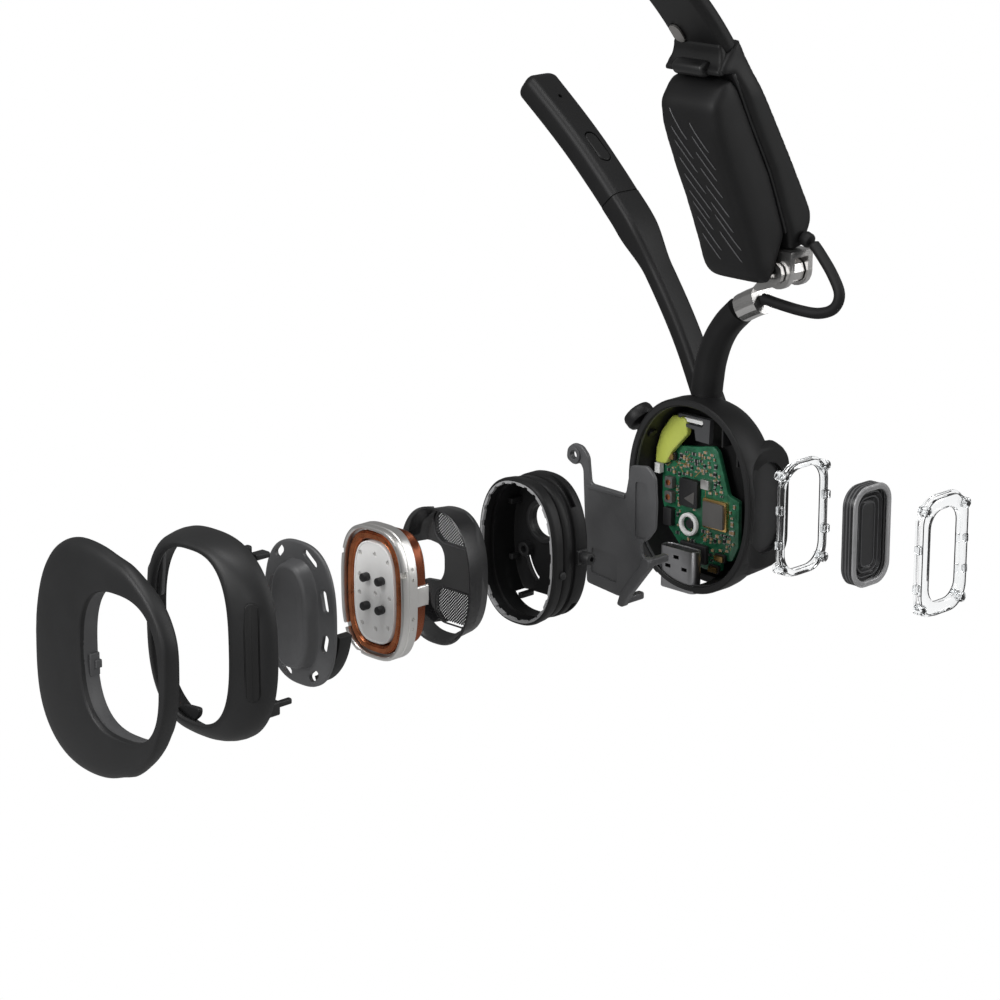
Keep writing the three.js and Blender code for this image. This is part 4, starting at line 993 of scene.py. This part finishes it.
def gauze(s, v, a, b, pitch, wire):
    """A woven grid that fills a rounded window."""
    shapes = []
    corner, half_root = 2.2, 0.7071
    count = int(2 * (a + b) / pitch)
    for lean in (1, -1):
        for k in range(count + 1):
            offset = -(a + b) + k * pitch
            ends = []
            for i in range(121):  # walks the strand and keeps the stretch inside the window
                t = -8 + 16 * i / 120
                y = t * half_root + offset * half_root
                z = (t * half_root - offset * half_root) * lean
                dy, dz = max(0, abs(y) - (a - corner)), max(0, abs(z) - (b - corner))
                if math.hypot(dy, dz) <= corner:
                    ends.append((y, z))
            if len(ends) > 4:
                (y0, z0), (y1, z1) = ends[0], ends[-1]
                points = [Vector((s + 0.05 * lean, y0, z0 + v)), Vector((s + 0.05 * lean, y1, z1 + v))]
                heading = (points[1] - points[0]).normalized()
                side = heading.cross(Vector((1, 0, 0)))
                loops = [[p + side * (x * wire) + Vector((w * wire, 0, 0)) for x, w in circle(0, 0, 1, 4)]
                         for p in points]
                shapes.append(loft(loops))
    return joined(*shapes)


def mesh_screen():
    off = OUT["screen"]
    top, bottom = 6.8, -7.4  # heights of the two windows
    profile = [(-2.3, 7.0, 10.8), (-2.2, 7.2, 11.0), (-1.8, 7.3, 11.1), (0.4, 7.7, 11.3), (2.6, 8.0, 11.5),
               (3.1, 8.02, 11.52), (3.2, 8.6, 12.0), (3.4, 8.6, 12.0), (3.5, 8.4, 11.8), (3.1, 7.95, 11.45),
               (2.5, 7.85, 11.35), (1.2, 7.3, 10.9), (-1.2, 6.8, 10.5), (-1.5, 6.3, 10.0), (-1.5, 5, 8)]
    tray = piece("screen_tray", "screen", "smoke", *turned(profile, off, 2.4, -0.6, 128),
                 slot="charcoal_plastic", replaced=["mesh_frame"])
    cuts = [slab(pill(0, z, 4.8, 3, 2.6), "X", off - 4, off + 4) for z in (top, bottom)]
    cuts += [slab(rounded([(-14, -4.4), (-3.6, -3.4), (-2.6, -1.6), (-2.6, 1.6), (-3.6, 3.2),
                           (-14, 4.2)], 0.9), "X", off - 4, off + 6),
             bar((off - 4, -7.6, -14), (off + 0.1, 1.6, -10.4))]
    carve(tray, *cuts)
    for name, z, old in (("gauze_top", top, "mesh_upper"), ("gauze_bottom", bottom, "mesh_lower")):
        piece(name, "screen", "gauze_grey", *gauze(off - 1.9, z, 4.7, 2.9, 0.4, 0.13), slot="acoustic_mesh",
              replaced=[old])
    lines = [rim(pill(0, z, 5.1, 3.3, 2.8), pill(0, z, 4.8, 3.0, 2.6), "X", off - 1.55, off - 1.3, 0.08)
             for z in (top, bottom)]
    piece("screen_lips", "screen", "grey_plastic", *joined(*lines))
    outer = rounded([(-5.6, 9.4), (-8.0, 8.9), (-11.0, 6.2), (-11.6, 3.2), (-9.2, 3.6), (-8.6, 6.0),
                     (-5.8, 8.6)], 0.8)
    inner = rounded([(-5.9, 9.0), (-7.9, 8.5), (-10.6, 6.1), (-11.1, 3.7), (-9.6, 4.0), (-8.9, 6.3),
                     (-6.0, 9.1)], 0.6)
    foot = rounded([(-6.8, -6.0), (-9.4, -7.2), (-8.4, -10.0), (-5.4, -11.4), (-4.4, -9.8),
                    (-6.6, -8.6)], 0.7)
    wing = joined(rim(outer, inner, "X", off - 2.2, off - 1.5, 0.1), slab(outer, "X", off - 1.95, off - 1.75),
                  slab(foot, "X", off - 2.2, off - 1.6, 0.15))
    piece("screen_wing", "screen", "bracket_grey", *wing, slot="grey_plastic")


def basket():
    off = OUT["cup"]
    lift, power = -0.7, 2.4
    outer = [(-3.4, 8.2, 12.1), (-3.3, 8.6, 12.5), (-3.0, 8.9, 12.8), (-2.6, 9.0, 12.9), (-0.4, 9.0, 12.9),
             (-0.2, 8.9, 12.8), (-0.1, 8.5, 12.4), (0.5, 8.4, 12.3), (0.6, 8.7, 12.6), (0.8, 8.85, 12.75),
             (2.2, 8.9, 12.8), (2.35, 8.8, 12.7), (2.5, 8.5, 12.4), (2.9, 8.5, 12.4), (3.0, 8.9, 12.8),
             (3.2, 9.1, 13.0), (4.7, 9.25, 13.15), (5.2, 9.2, 13.1), (5.45, 9.05, 12.95), (5.5, 8.9, 12.8),
             (5.5, 8.75, 12.6), (5.4, 8.7, 12.5), (3.05, 8.68, 12.35), (2.95, 8.1, 11.95), (-2.2, 8.1, 11.95),
             (-2.4, 7.7, 11.6), (-2.4, 5.5, 9)]
    cup = piece("driver_cup", "cup", "deep_plastic", *turned(outer, off, power, lift, 144),
                slot="charcoal_plastic", replaced=["basket"])
    cuts = [slab(circle(-0.6, 3.2, 3.1, 48), "X", off - 6, off),
            slab(arc_strip(4.9, 6.2, 8.2, 9.6, -2.7, -2.0), "X", off - 6, off),
            slab(arc_strip(4.9, 6.2, 8.2, 9.6, -1.2, -0.3), "X", off - 6, off),
            slab(arc_strip(4.9, 5.9, 8.2, 9.4, 0.5, 1.0), "X", off - 6, off),
            slab(arc_strip(8.35, 12, 12.3, 16, 0.62, 1.4), "X", off - 1.5, off - 0.3),
            slab(arc_strip(8.35, 12, 12.3, 16, -1.3, -0.8), "X", off - 2.4, off - 1.2),
            bar((off - 6, -7.6, -22), (off - 0.1, 1.6, -10.3))]
    carve(cup, *cuts)
    wavy = []
    for s, a, b, wave in ((5.35, 8.75, 12.65, 0.0), (5.62, 8.72, 12.62, 0.0), (5.62, 8.35, 12.25, 0.16),
                          (5.1, 8.3, 12.2, 0.16)):
        loop = []
        for i, p in enumerate(pod_loop(off + s, a, b, power, lift, 432)):
            swell = 1 + wave / 9 * (1 if (i // 6) % 3 == 0 else -0.4)
            loop.append(Vector((p.x, p.y * swell, lift + (p.z - lift) * swell)))
        wavy.append(loop)
    piece("cup_teeth", "cup", "rim_grey", *loft(wavy, True), slot="grey_plastic")
    ribs = [bar((off - 2.5, y - 0.5, z - 0.5), (off + top, y + 0.5, z + 0.5), 0.15, 0.2)
            for y, z, top in ((-6.8, 6.0, 0.2), (-7.2, -4.4, -0.4), (-2.6, 10.4, 1.0), (3.2, 9.8, 0.4),
                              (6.6, 4.6, 1.0), (7.1, -2.2, 0.2), (-3.9, -10.6, 0.6), (4.8, -9.4, 0.8))]
    for y, z, wide, hole, count, top in ((-0.6, 3.2, 3.9, 3.1, 48, -1.5), (-4.6, -2.6, 1.3, 0.6, 30, -0.9)):
        ribs.append(rim(circle(y, z, wide, count), circle(y, z, hole, count), "X", off - 2.5, off + top, 0.15))
    piece("cup_ribs", "cup", "charcoal_plastic", *joined(*ribs))
    peg = joined(rod((off - 1.4, 0, -1.0), (0, 1, 0), 1.15, 8.6, 11.5, 0.35, 32, 0.45),
                 rod((off + 3.4, 0, -3.4), (0, 1, 0), 0.7, 8.6, 9.5, 0.2, 24),
                 bar((off - 2.6, 8.6, -2.3), (off - 0.2, 9.5, 0.3), 0.15, 0.4))
    piece("cup_peg", "cup", "charcoal_plastic", *peg)


def bracket():
    off = OUT["bracket"]
    low, high = off - 4.5, off - 3.7
    outline = [(-5.4, -12.7), (2.7, -13.6), (4.0, -12.6), (9.4, -5.3), (8.0, -4.9), (7.6, -2.4), (9.2, -1.7),
               (11, 0.6), (11.2, 5.4), (10.8, 10.2), (9, 11.8), (5.0, 11.2), (3.9, 5.7), (-4.6, 5.9),
               (-5.2, 10.8), (-6.8, 12.4), (-8.9, 12.6), (-10.4, 11.4), (-10.6, 9.4), (-8.8, 8.5),
               (-7.2, 9.2), (-6.5, 8.2)]
    plate = piece("carrier_plate", "bracket", "bracket_grey",
                  *slab(rounded(outline, 0.7), "X", low, high, 0.25, 3), slot="grey_plastic",
                  replaced=["bracket_plate"])
    cuts = [rod((off, -8.5, 10.5), (1, 0, 0), 0.8, -6, 0, count=32),
            slab(rounded([(6.3, -1.8), (9, -1.6), (9, 8.6), (6.3, 8.6)], 0.6), "X", high - 0.28, high + 1),
            slab(rounded([(-4.2, -10.6), (2, -11.2), (2, -6.2), (-4.2, -5.8)], 0.6), "X", high - 0.22,
                 high + 1)]
    carve(plate, *cuts)
    hook = rounded([(2.6, -14.9), (4.0, -15.2), (5.0, -13.2), (10.4, -6.4), (10.2, -5.0), (8.7, -4.8),
                    (8.2, -6.4), (3.4, -12.6)], 0.5)
    parts = [slab(hook, "X", low - 0.1, high + 0.7, 0.25, 3),
             bar((off - 8.6, 8.6, -6.5), (off - 3.9, 10.1, -5.1), 0.25, 0.4),
             bar((off - 8.4, 3.0, -14.7), (off - 3.9, 4.5, -13.3), 0.25, 0.4),
             bar((off - 6.4, -5.9, -9.6), (off - 4.0, -5.1, 4.6), 0.2, 0.3),
             bar((off - 4.1, -5.2, 5.0), (off - 3.3, 3.9, 5.7), 0.2, 0.2),
             rim(circle(-8.5, 10.5, 1.5, 36), circle(-8.5, 10.5, 0.8, 36), "X", off - 3.9, off - 3.3, 0.1)]
    piece("carrier_ribs", "bracket", "bracket_grey", *joined(*parts), slot="grey_plastic")


SEAT_Y = 12.9


def port_pill(a, b, corner):
    return pill(PORT_S, PORT_Z, a, b, corner, 10)


def port_rims(y, rows):
    """Frames round the side port: two outlines, and two depths from y, and the edge's width."""
    return [rim(port_pill(*outer), port_pill(*inner), "Y", y + low, y + high, edge)
            for outer, inner, low, high, edge in rows]


def port_lugs(y, corners, sides, low, high):
    """The lugs on a clear frame: rings at its corners and blocks on its sides. The depths in low
    and high are the rings' and then the blocks'."""
    return ([rod((PORT_S + u, y + low[0], PORT_Z + v), (0, 1, 0), 0.95, 0, high[0] - low[0], 0.25, 24, 0.4)
             for u, v in corners]
            + [bar((PORT_S + u - 0.5, y + low[1], PORT_Z + v - 0.8),
                   (PORT_S + u + 0.5, y + high[1], PORT_Z + v + 0.8), 0.15, 0.3) for u, v in sides])


def port_dots(y, corners, depth):
    """The dark middles of the lugs."""
    return [rod((PORT_S + u, y, PORT_Z + v), (0, 1, 0), 0.45, 0, depth, 0.1, 16) for u, v in corners]


def side_port():
    y = SEAT_Y + SIDE["port_seat"]
    corners = [(5.6, 8.6), (-5.6, 8.6), (5.6, -8.6), (-5.6, -8.6)]
    piece("port_gasket", "port_seat", "clear_plastic",
          *rim(port_pill(6.1, 10.4, 4.4), port_pill(5.3, 9.4, 3.8), "Y", y, y + 1.4, 0.2),
          replaced=["port_frame"])
    piece("gasket_lugs", "port_seat", "clear_plastic",
          *joined(*port_lugs(y, corners, [(6.4, 2.5), (6.4, -4), (-6.4, 3), (-6.4, -3.4)],
                             (-0.6, 0.2), (1.8, 1.6)),
                  *port_rims(y, [((6.5, 10.8, 4.6), (6.2, 10.5, 4.4), 0.2, 0.7, 0.1)])))
    lines = port_rims(y, [((5.36, 9.46, 3.84), (5.26, 9.36, 3.76), 0.1, 0.35, 0.03),
                          ((6.16, 10.46, 4.44), (6.06, 10.36, 4.36), 1.25, 1.45, 0.03)])
    piece("gasket_lines", "port_seat", "smoke", *joined(*lines, *port_dots(y + 1.5, corners, 0.35)),
          slot="soft_rubber")

    y = SEAT_Y + SIDE["radiator"]
    piece("radiator_frame", "radiator", "smoke",
          *rim(port_pill(5, 9.1, 3.6), port_pill(3.9, 8, 2.6), "Y", y, y + 2.6, 0.2), slot="grey_plastic",
          replaced=["radiator_rim"])
    piece("radiator_lip", "radiator", "lip_grey",
          *rim(port_pill(5.2, 9.3, 3.7), port_pill(4.1, 8.2, 2.7), "Y", y + 2.5, y + 3.0, 0.2),
          slot="clear_plastic")
    bands = port_rims(y, [((5.12, 9.22, 3.68), (4.9, 9.0, 3.5), low, low + 0.35, 0.1)
                          for low in (0.3, 1.0, 1.7)])
    piece("radiator_bands", "radiator", "bracket_grey", *joined(*bands), slot="grey_plastic")
    loops = [[Vector((u, y + 0.3, v)) for u, v in port_pill(3.6, 7.7, 2.3)]]
    for a, level in ((3.85, 0.6), (3.85, 1.6), (3.7, 1.9), (3.5, 2.05), (3.25, 1.6), (3.05, 1.5),
                     (2.85, 1.75), (2.65, 1.95), (2.4, 1.5), (2.2, 1.4), (1.95, 1.8), (1.6, 1.9),
                     (1.2, 1.9), (0.6, 1.9)):
        loops.append([Vector((u, y + level, v)) for u, v in port_pill(a, a + 4.1, min(2.6, a * 0.68))])
    piece("radiator_dome", "radiator", "dome_grey", *loft(loops), sharp=50, slot="soft_rubber",
          replaced=["radiator_cone"])
    ridges = port_rims(y, [((a + 0.12, a + 4.22, a * 0.68 + 0.1), (a - 0.12, a + 3.98, a * 0.68 - 0.1),
                            level, level + 0.16, 0.05)
                           for a, level in ((3.58, 1.98), (2.72, 1.88), (1.75, 1.84))])
    piece("radiator_ridges", "radiator", "grey_plastic", *joined(*ridges), slot="soft_rubber")

    y = SEAT_Y + SIDE["lens"]
    corners = [(5.4, 8.8), (-5.6, 8.2), (5.8, -8.8), (-5.2, -8.8)]
    piece("clear_lens", "lens", "clear_plastic",
          *rim(port_pill(6.2, 10.5, 4.3), port_pill(4, 8.3, 3), "Y", y + 3.3, y + 4.4, 0.3),
          replaced=["port_lens"])
    piece("lens_lugs", "lens", "clear_plastic",
          *joined(*port_lugs(y, corners, [(6.5, 2), (6.6, -5), (-6.4, 1.6), (-6.4, -4)],
                             (2.9, 3.0), (4.8, 4.2)),
                  *port_rims(y, [((6.7, 11.0, 4.7), (6.3, 10.6, 4.4), 2.9, 3.5, 0.12)])))
    lines = port_rims(y, [((4.1, 8.4, 3.06), (4.0, 8.3, 2.98), 3.35, 3.6, 0.03),
                          ((6.26, 10.56, 4.34), (6.16, 10.46, 4.26), 4.25, 4.45, 0.03)])
    piece("lens_lines", "lens", "smoke", *joined(*lines, *port_dots(y + 4.6, corners, 0.3)),
          slot="soft_rubber")


BOARD = [(-11.9, -4), (-10.2, -9.2), (-6, -13.4), (-1.6, -15.4), (2.7, -15.2), (2.8, -12.7),
         (5.4, -12.6), (6.9, -9.6), (6.9, -0.9), (4.3, -0.2), (1.6, 7.6), (0.4, 8.4), (-4.2, 7.4),
         (-11.6, 6.6), (-11.9, 1)]
CHIPS = {"sound_processor": (1.6, -4.3, 2.9, 2.8), "memory_chip": (-4.5, -1.3, 2.2, 2.6),
         "radio_module": (-0.6, 1.1, 1.0, 0.9), "inductor_upper": (-9.4, -0.2, 0.9, 1.1),
         "inductor_lower": (-9.4, -3, 0.9, 1.1), "charge_chip": (-9.6, -6.8, 1.0, 1.7)}
SPRINGS = [(-9.3, 4.9), (3.2, -12.2), (1.8, -14.6)]


def inside(outline, y, z):
    """Whether a point lies in an outline."""
    hit = False
    for (y0, z0), (y1, z1) in zip(outline, outline[1:] + outline[:1]):
        if (z0 > z) != (z1 > z) and y < (y1 - y0) * (z - z0) / (z1 - z0) + y0:
            hit = not hit
    return hit


def electronics():
    top = -6.2
    piece("main_board", "pod", "board_green", *slab(rounded(BOARD, 0.4), "X", -7.2, top, 0.12, 2),
          replaced=["circuit_board"])

    for name, old, look, corner, high, slot in (
            ("processor_frame", "sound_processor", "gold", 0.3, -5.5, None),
            ("memory_case", "memory_chip", "chip_black", 0.25, -5.0, None),
            ("radio_can", "radio_module", "pale_steel", 0.2, -5.1, "satin_steel"),
            ("charge_case", "charge_chip", "chip_black", 0.2, -5.0, None),
            ("coil_upper", "inductor_upper", "chip_grey", 0.3, -5.0, None),
            ("coil_lower", "inductor_lower", "chip_grey", 0.3, -5.0, None)):
        piece(name, "pod", look, *slab(pill(*CHIPS[old], corner, 3), "X", top + 0.02, high, 0.07, 2),
              slot=slot, replaced=[old])
    y, z, a, b = CHIPS["sound_processor"]
    piece("processor_die", "pod", "chip_grey",
          *slab(pill(y, z, a - 0.45, b - 0.45, 0.2, 3), "X", -5.6, -4.95, 0.07, 2))
    y, z = CHIPS["memory_chip"][:2]
    cut = [(y - 0.9, z - 1.1), (y + 1.5, z - 1.9), (y + 1.6, z + 0.6)]
    piece("memory_mark", "pod", "chip_grey", *slab(rounded(cut, 0.2), "X", -5.05, -4.9, 0.05, 2))
    for label in ("upper", "lower"):
        y, z = CHIPS[f"inductor_{label}"][:2]
        piece(f"coil_eye_{label}", "pod", "copper", *slab(circle(y, z, 0.55, 24), "X", -5.1, -4.88, 0.06, 2))

    piece("touch_ring", "pod", "white_plastic",
          *rim(circle(-4.5, -7.3, 2.2, 56), circle(-4.5, -7.3, 1.45, 56), "X", -5.9, -4.95, 0.25),
          replaced=["sensor_ring"])
    piece("touch_core", "pod", "chip_black", *slab(circle(-4.5, -7.3, 0.9, 40), "X", top, -5.5, 0.15, 3))
    for number, (y, z) in enumerate(SPRINGS, 1):
        dress(f"contact_spring_{number}", "gold", 0.12)
        box = rim(pill(y, z, 1.25, 0.75, 0.25, 3), pill(y, z, 1.02, 0.52, 0.15, 3), "X", -5.95, -5.3, 0.06)
        piece(f"spring_box_{number}", "pod", "chip_black", *box)

    random.seed(11)
    kept = [(y, z, a + 0.25, b + 0.25) for y, z, a, b in CHIPS.values()]
    kept += [(-4.5, -7.3, 2.5, 2.5)] + [(y, z, 1.4, 0.9) for y, z in SPRINGS]
    border = inset(BOARD, 0.7)
    ends, bodies, darks = [], [], []
    for _ in range(1500):
        y, z = random.uniform(-12, 7), random.uniform(-15.6, 8.4)
        across = random.random() < 0.5
        a, b = random.choice(((0.42, 0.22), (0.3, 0.16), (0.5, 0.28)))
        if not across:
            a, b = b, a
        p, q = (0.6, 1) if across else (1, 0.6)  # of the part, between its two ends
        if not all(inside(border, y + i * a, z + k * b) for i in (-1, 1) for k in (-1, 1)):
            continue
        if any(abs(y - u) < a + c + 0.1 and abs(z - v) < b + d + 0.1 for u, v, c, d in kept):
            continue
        kept.append((y, z, a, b))
        high = top + random.uniform(0.22, 0.4)
        middle = bar((top, y - a * p, z - b * q), (high, y + a * p, z + b * q))
        (bodies if random.random() < 0.55 else darks).append(middle)
        for side in (-1, 1):
            u, v, c, d = ((y + side * a * 0.8, z, a * 0.2, b) if across
                          else (y, z + side * b * 0.8, a, b * 0.2))
            ends.append(bar((top, u - c, v - d), (high + 0.02, u + c, v + d)))
        if len(ends) > 260:
            break
    piece("passive_ends", "pod", "pale_steel", *joined(*ends), slot="satin_steel")
    piece("passive_bodies", "pod", "tan", *joined(*bodies), slot="chip_grey")
    piece("passive_chips", "pod", "chip_black", *joined(*darks))
    traces = []
    for _ in range(46):
        y, z = random.uniform(-11, 6), random.uniform(-14, 7)
        turn = random.choice((0, math.pi / 4, math.pi / 2, -math.pi / 4))
        length = random.uniform(1, 3.2)
        y1, z1 = y + math.cos(turn) * length, z + math.sin(turn) * length
        if inside(border, y, z) and inside(border, y1, z1):
            heading = Vector((y1 - y, z1 - z)).normalized() * 0.07
            corners = [(y - heading.y, z + heading.x), (y + heading.y, z - heading.x),
                       (y1 + heading.y, z1 - heading.x), (y1 - heading.y, z1 + heading.x)]
            traces.append(slab(corners, "X", top, top + 0.02))
    piece("board_traces", "pod", "gold", *joined(*traces))


def pod_fittings():
    cell = rounded([(-12.5, 3.2), (-9.9, 3.3), (-8.4, 6.0), (-4.6, 10.0), (-5.2, 12.9), (-8.4, 13.0),
                    (-11.2, 9.4), (-12.3, 6)], 0.6, 5)
    piece("foil_cell", "pod", "cell_foil", *slab(cell, "X", -6.1, -4.7, 0.35, 4), replaced=["pod_cell"])
    dress("cell_tab", "white_plastic", 0.15)
    dress("temple_cell", "cell_foil", 0.3)
    dress("mic_capsule", "gold", 0.15)
    dress("top_ledge", "grey_plastic", 0.15)
    dress("status_light", "white_plastic", 0.1)
    piece("plug_cradle", "pod", "chip_black",
          *bar((-5.9, PLUG_Y - 3.2, -14.2), (-4.8, PLUG_Y + 3.2, -10.6), 0.2, 0.3), replaced=["usb_c_cradle"])
    step = [shell_loop(s, by) for s, by in ((-0.5, 1.35), (-0.52, 1.5), (-1.0, 1.5), (-1.0, 1.35))]
    piece("rim_step", "pod", "grey_plastic", *loft(step, True))
    # Painted highlight: a thin ring of lighter charcoal on the pod's rim plane stands in for the light that
    # the rim catches.
    face = [shell_loop(s, by) for s, by in ((-0.1, 0.3), (0.05, 0.4), (0.05, 1.2), (-0.1, 1.3))]
    piece("rim_painted_highlight", "pod", "charcoal_plastic", *loft(face, True))
    ribs = [bar(low, high, 0.1, 0.15) for low, high in (((-8.5, 4.8, 9.6), (-3.4, 5.2, 14.0)),
                                                        ((-8.5, 8.4, 6.6), (-3.4, 8.8, 12.2)),
                                                        ((-8.5, -13.2, -6), (-4.6, -12.8, -2)))]
    piece("inner_ribs", "pod", "charcoal_plastic", *joined(*ribs))


def usb_port():
    def outline(a, b, corner):
        return pill(PLUG_S, PLUG_Y, a, b, corner, 10)
    shell = piece("usb_c_case", "pod", "dark_steel",
                  *rim(outline(1.4, 4.3, 1.2), outline(1.1, 4, 0.95), "Z", -18.6, -10.6, 0.1),
                  slot="satin_steel", replaced=["usb_c_shell"])
    slots = [bar((PLUG_S + 0.9, PLUG_Y + y - 0.6, z - 0.35), (PLUG_S + 2, PLUG_Y + y + 0.7, z + 0.35))
             for y, z in ((-2, -14.2), (2, -14.2), (0, -12.2))]
    carve(shell, *slots)
    piece("usb_c_back", "pod", "chip_black", *slab(outline(1.08, 3.98, 0.94), "Z", -11.6, -10.8))
    tongue = slab(pill(PLUG_S, PLUG_Y, 0.35, 3.3, 0.2, 3), "Z", -17.6, -11, 0.12, 2)
    piece("usb_c_blade", "pod", "chip_black", *tongue, replaced=["usb_c_tongue"])
    pads = [bar((PLUG_S + 0.3, PLUG_Y + y - 0.12, -17.3), (PLUG_S + 0.4, PLUG_Y + y + 0.12, -15))
            for y in (-2.4, -1.8, -1.2, -0.6, 0, 0.6, 1.2, 1.8, 2.4)]
    piece("usb_c_pads", "pod", "gold", *joined(*pads))


studio()
headband()
temple()
temple_pad()
cable()
metal_nodes()
ear_hook()
boom()
housing()
pod_fittings()
electronics()
usb_port()
ear_cover()
front_ring()
contact_plate()
transducer()
mesh_screen()
basket()
bracket()
side_port()
